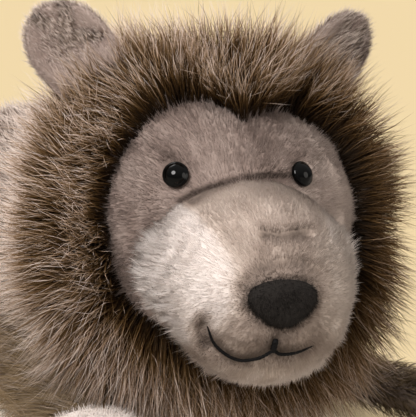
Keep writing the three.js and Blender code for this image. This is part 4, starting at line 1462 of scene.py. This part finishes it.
def stuffed(form, inset, first, last, rows, columns):
    """Rings of a form along +Y between two shares of its length, with the point that closes each end.

    The cap at share s is sqrt((1 - start**2) * (1 - end**2)), where start and end rise to 1 at the ends.
    """
    steps = (1 - np.cos(np.pi * np.linspace(0, 1, rows + 2))) / 2
    share = first + (last - first) * steps
    start = np.maximum(0, 1 - share / form.start_cap)
    end = np.maximum(0, 1 - (1 - share) / form.end_cap)
    cap = np.sqrt((1 - start ** 2) * (1 - end ** 2))
    angle = turns(columns)
    wide = ((through(form.widths, share) - inset) * cap)[:, None] * np.cos(angle)
    high = ((through(form.heights, share) - inset) * cap)[:, None] * np.sin(angle)
    along = np.broadcast_to((inset + share * (form.length - 2 * inset))[:, None], wide.shape)
    rings = np.stack([wide, along, axis_heights(form, share)[:, None] + high], axis=-1)
    middles = np.stack([0 * share, along[:, 0], axis_heights(form, share)], axis=-1)
    return rings[1:-1], middles[0], middles[-1]


def placed(points, pivot, root, turn, slope):
    """Points of a form moved from its own axis to its pivot: back by its root, down by its slope, turned."""
    x, y, z = np.moveaxis(points - root * BACKWARD, -1, 0)
    y, z = y * np.cos(slope) + z * np.sin(slope), z * np.cos(slope) - y * np.sin(slope)
    x, y = x * np.cos(turn) - y * np.sin(turn), x * np.sin(turn) + y * np.cos(turn)
    return pivot + np.stack([x, y, z], axis=-1)


def limb_skin(form, inset, first, last, rows, columns, pivot, root, turn, slope):
    """Part of a limb as a closed skin at its place."""
    parts = stuffed(form, inset, first, last, rows, columns)
    return sewn(*(placed(points, pivot, root, turn, slope) for points in parts))


def off_the_floor(points):
    """Few hairs where a piece rests on the floor and none can be seen."""
    return np.where(points[:, 2] < NEAR_FLOOR, FLOOR_HAIR_SHARE, 1.0)


# %% Body
BODY_HAIR, BODY_HAIRS = 15.0, 9500
NECK_LENGTH, NECK_LENGTH_STEPS = 0.6, [(0.4, -190.0, -140.0)]
BODY_BRUSH = np.array([0.0, 1.0, -0.25])
BODY_PARTS = {"body_front_fur": (-200.0, -30.0), "body_rear_fur": (-30.0, 200.0)}


def body_part(first, last):
    """A weight for the hairs between two distances along the body."""
    def weight(points):
        return off_the_floor(points) * ((points[:, 1] >= first) & (points[:, 1] < last))
    return weight


def body_length(roots):
    """Shorter pile where the body meets the head."""
    return BODY_HAIR * (NECK_LENGTH + stepped(roots[:, 1], NECK_LENGTH_STEPS))


trunk = limb_skin(BODY, BODY_INSET, 0.0, 1.0, 60, 96, BODY_FRONT * BACKWARD, root=0.0, turn=0.0, slope=0.0)
neck_radius = NECK_RADIUS - BODY_INSET
neck_rings = egg_grid(np.full(3, neck_radius), NECK, 6, 174, rows=30, columns=60)
neck_ball = sewn(neck_rings, NECK - neck_radius * BACKWARD, NECK + neck_radius * BACKWARD)
torso = joined(trunk, neck_ball)
put_plush("body_plush", torso, coat_cloth, "torso", 0.6, ("body_skin", "body_stuffing"))
body_comb = coat_comb(BODY_BRUSH, body_length, lay=1.0, tone=0.72, radii=(0.2, 0.32))
for seed, (name, reach) in enumerate(BODY_PARTS.items(), start=71):
    fur(name, coat_hair, "torso", torso, body_part(*reach), BODY_HAIRS, body_comb,
        rings=2, seed=seed)

# %% Neck
GUSSET_OUTER, GUSSET_INNER = 52.9, 51.0
GUSSET_START, GUSSET_END = 4, 64


def neck_cup():
    """The cloth between the head and the neck: a thin cup over the front of the neck ball."""
    outer = egg_grid(np.full(3, GUSSET_OUTER), NECK, GUSSET_START, GUSSET_END, rows=16, columns=48)
    inner = egg_grid(np.full(3, GUSSET_INNER), NECK, GUSSET_END, GUSSET_START, rows=16, columns=48)
    outer_pole, inner_pole = NECK - GUSSET_OUTER * BACKWARD, NECK - GUSSET_INNER * BACKWARD
    return sewn(np.concatenate([outer, inner]), outer_pole, inner_pole)


put_plush("neck_plush", neck_cup(), coat_cloth, "neck", 0.5, ("neck_gusset",))

# %% Legs
Leg = namedtuple("Leg", "form root splays hairs")
LEGS = {
    "foreleg": Leg(FORELEG, 20.0, {"right": 2.0, "left": 26.0}, 6500),
    "hindleg": Leg(HINDLEG, 26.0, {"right": 142.0, "left": 142.0}, 4200),
}
LEG_HAIR_PLACES = (0.2, 0.6)
LEG_HAIR = {
    "right_foreleg": (19.0, 19.0),
    "left_foreleg": (24.0, 18.0),
    "right_hindleg": (14.0, 12.0),
    "left_hindleg": (14.0, 12.0),
}
LEG_SHADE_PLACES, LEG_SHADES = (0.0, 0.3), (0.62, 0.50)
FORELEG_BRUSH = {"right_foreleg": np.array([-1.0, 0.25, -0.3]), "left_foreleg": np.array([0.3, -1.0, -0.3])}
LEG_BRUSH_DOWN = np.array([0.0, 0.0, -0.6])
PAW_TONE, PAW_CHANCE, PAW_HAIRS = 0.99, 0.03, 4500
PAW_PATTERN = Pattern(9.0, 83)
PAW_START, PAW_END, PAW_RADII = (1.0, 0.3, 0.16), (0.7, 0.6, 0.2), (0.11, 0.17)


def comb_paw(direction):
    """Short cream pile, brushed towards the toes."""
    def comb(roots, normals, rng):
        count = len(roots)
        jitter = rng.normal(size=(count, 3))
        lengths = SHORT_HAIR * rng.uniform(*SHORT_RANGE, count)
        tones = PAW_TONE + PAW_CHANCE * (rng.normal(size=count) + waves(roots, *PAW_PATTERN))
        ways = (normals, tangent(normals, direction), jitter)
        return blend(ways, PAW_START), blend(ways, PAW_END), lengths, rng.uniform(*PAW_RADII, count), tones
    return comb


def along_leg(pivot, way, places, values):
    """A function of roots: the value at each, between values at places along a leg."""
    return lambda roots: np.interp((roots - pivot) @ way, places, values)


for name, side in SIDES.items():
    for kind, leg in LEGS.items():
        limb = f"{name}_{kind}"
        paw = f"{name}_{kind.replace('leg', 'paw')}"
        turn = np.pi + side * np.radians(leg.splays[name])
        pivot = pivots[f"{limb}_swing"]
        place = {"pivot": pivot, "root": leg.root, "turn": turn, "slope": 0.0}
        ankle = 1 - PAW_LENGTH / leg.form.length
        sleeve = limb_skin(leg.form, LEG_INSET, 0.0, ankle, rows=40, columns=60, **place)
        toe = limb_skin(leg.form, PAW_INSET, ankle, 1.0, rows=30, columns=60, **place)
        nodes = (f"{limb}_skin", f"{limb}_stuffing")
        put_plush(f"{limb}_sleeve", sleeve, coat_cloth, limb, 0.6, nodes)
        put_plush(f"{paw}_plush", toe, muzzle_cloth, limb, PAW_TONE, (paw,))
        forward = np.array([-np.sin(turn), np.cos(turn), 0.0])
        way = forward / (leg.form.length - leg.root - PAW_LENGTH)
        leg_comb = coat_comb(
            FORELEG_BRUSH.get(limb, forward + LEG_BRUSH_DOWN),
            along_leg(pivot, way, LEG_HAIR_PLACES, LEG_HAIR[limb]),
            lay=1.4,
            tone=along_leg(pivot, way, LEG_SHADE_PLACES, LEG_SHADES),
            radii=(0.16, 0.26),
            mixed=0.8,
        )
        fur(f"{limb}_fur", leg_pile, limb, sleeve, off_the_floor, leg.hairs, leg_comb,
            rings=2, seed=81)
        fur(f"{paw}_fur", muzzle_pile, limb, toe, off_the_floor, PAW_HAIRS, comb_paw(forward),
            rings=1, seed=82)

# %% Tail
TAIL_HAIR, TAIL_HAIRS = 24.0, 6500
TAIL_ROOT, TAIL_SLOPE = 12.0, np.radians(13)
tail = limb_skin(TAIL, TAIL_INSET, 0.0, 1.0, 40, 48, pivots["tail_wag"], TAIL_ROOT, 0.0, TAIL_SLOPE)
put_plush("tail_plush", tail, coat_cloth, "tail", 0.5, ("tail_skin", "tail_stuffing"))
tail_way = np.cos(TAIL_SLOPE) * BACKWARD - np.sin(TAIL_SLOPE) * UPWARD
tail_comb = coat_comb(tail_way, TAIL_HAIR, lay=0.6, tone=0.6, radii=(0.2, 0.32))
fur("tail_fur", coat_hair, "tail", tail, everywhere, TAIL_HAIRS, tail_comb, rings=2, seed=91)
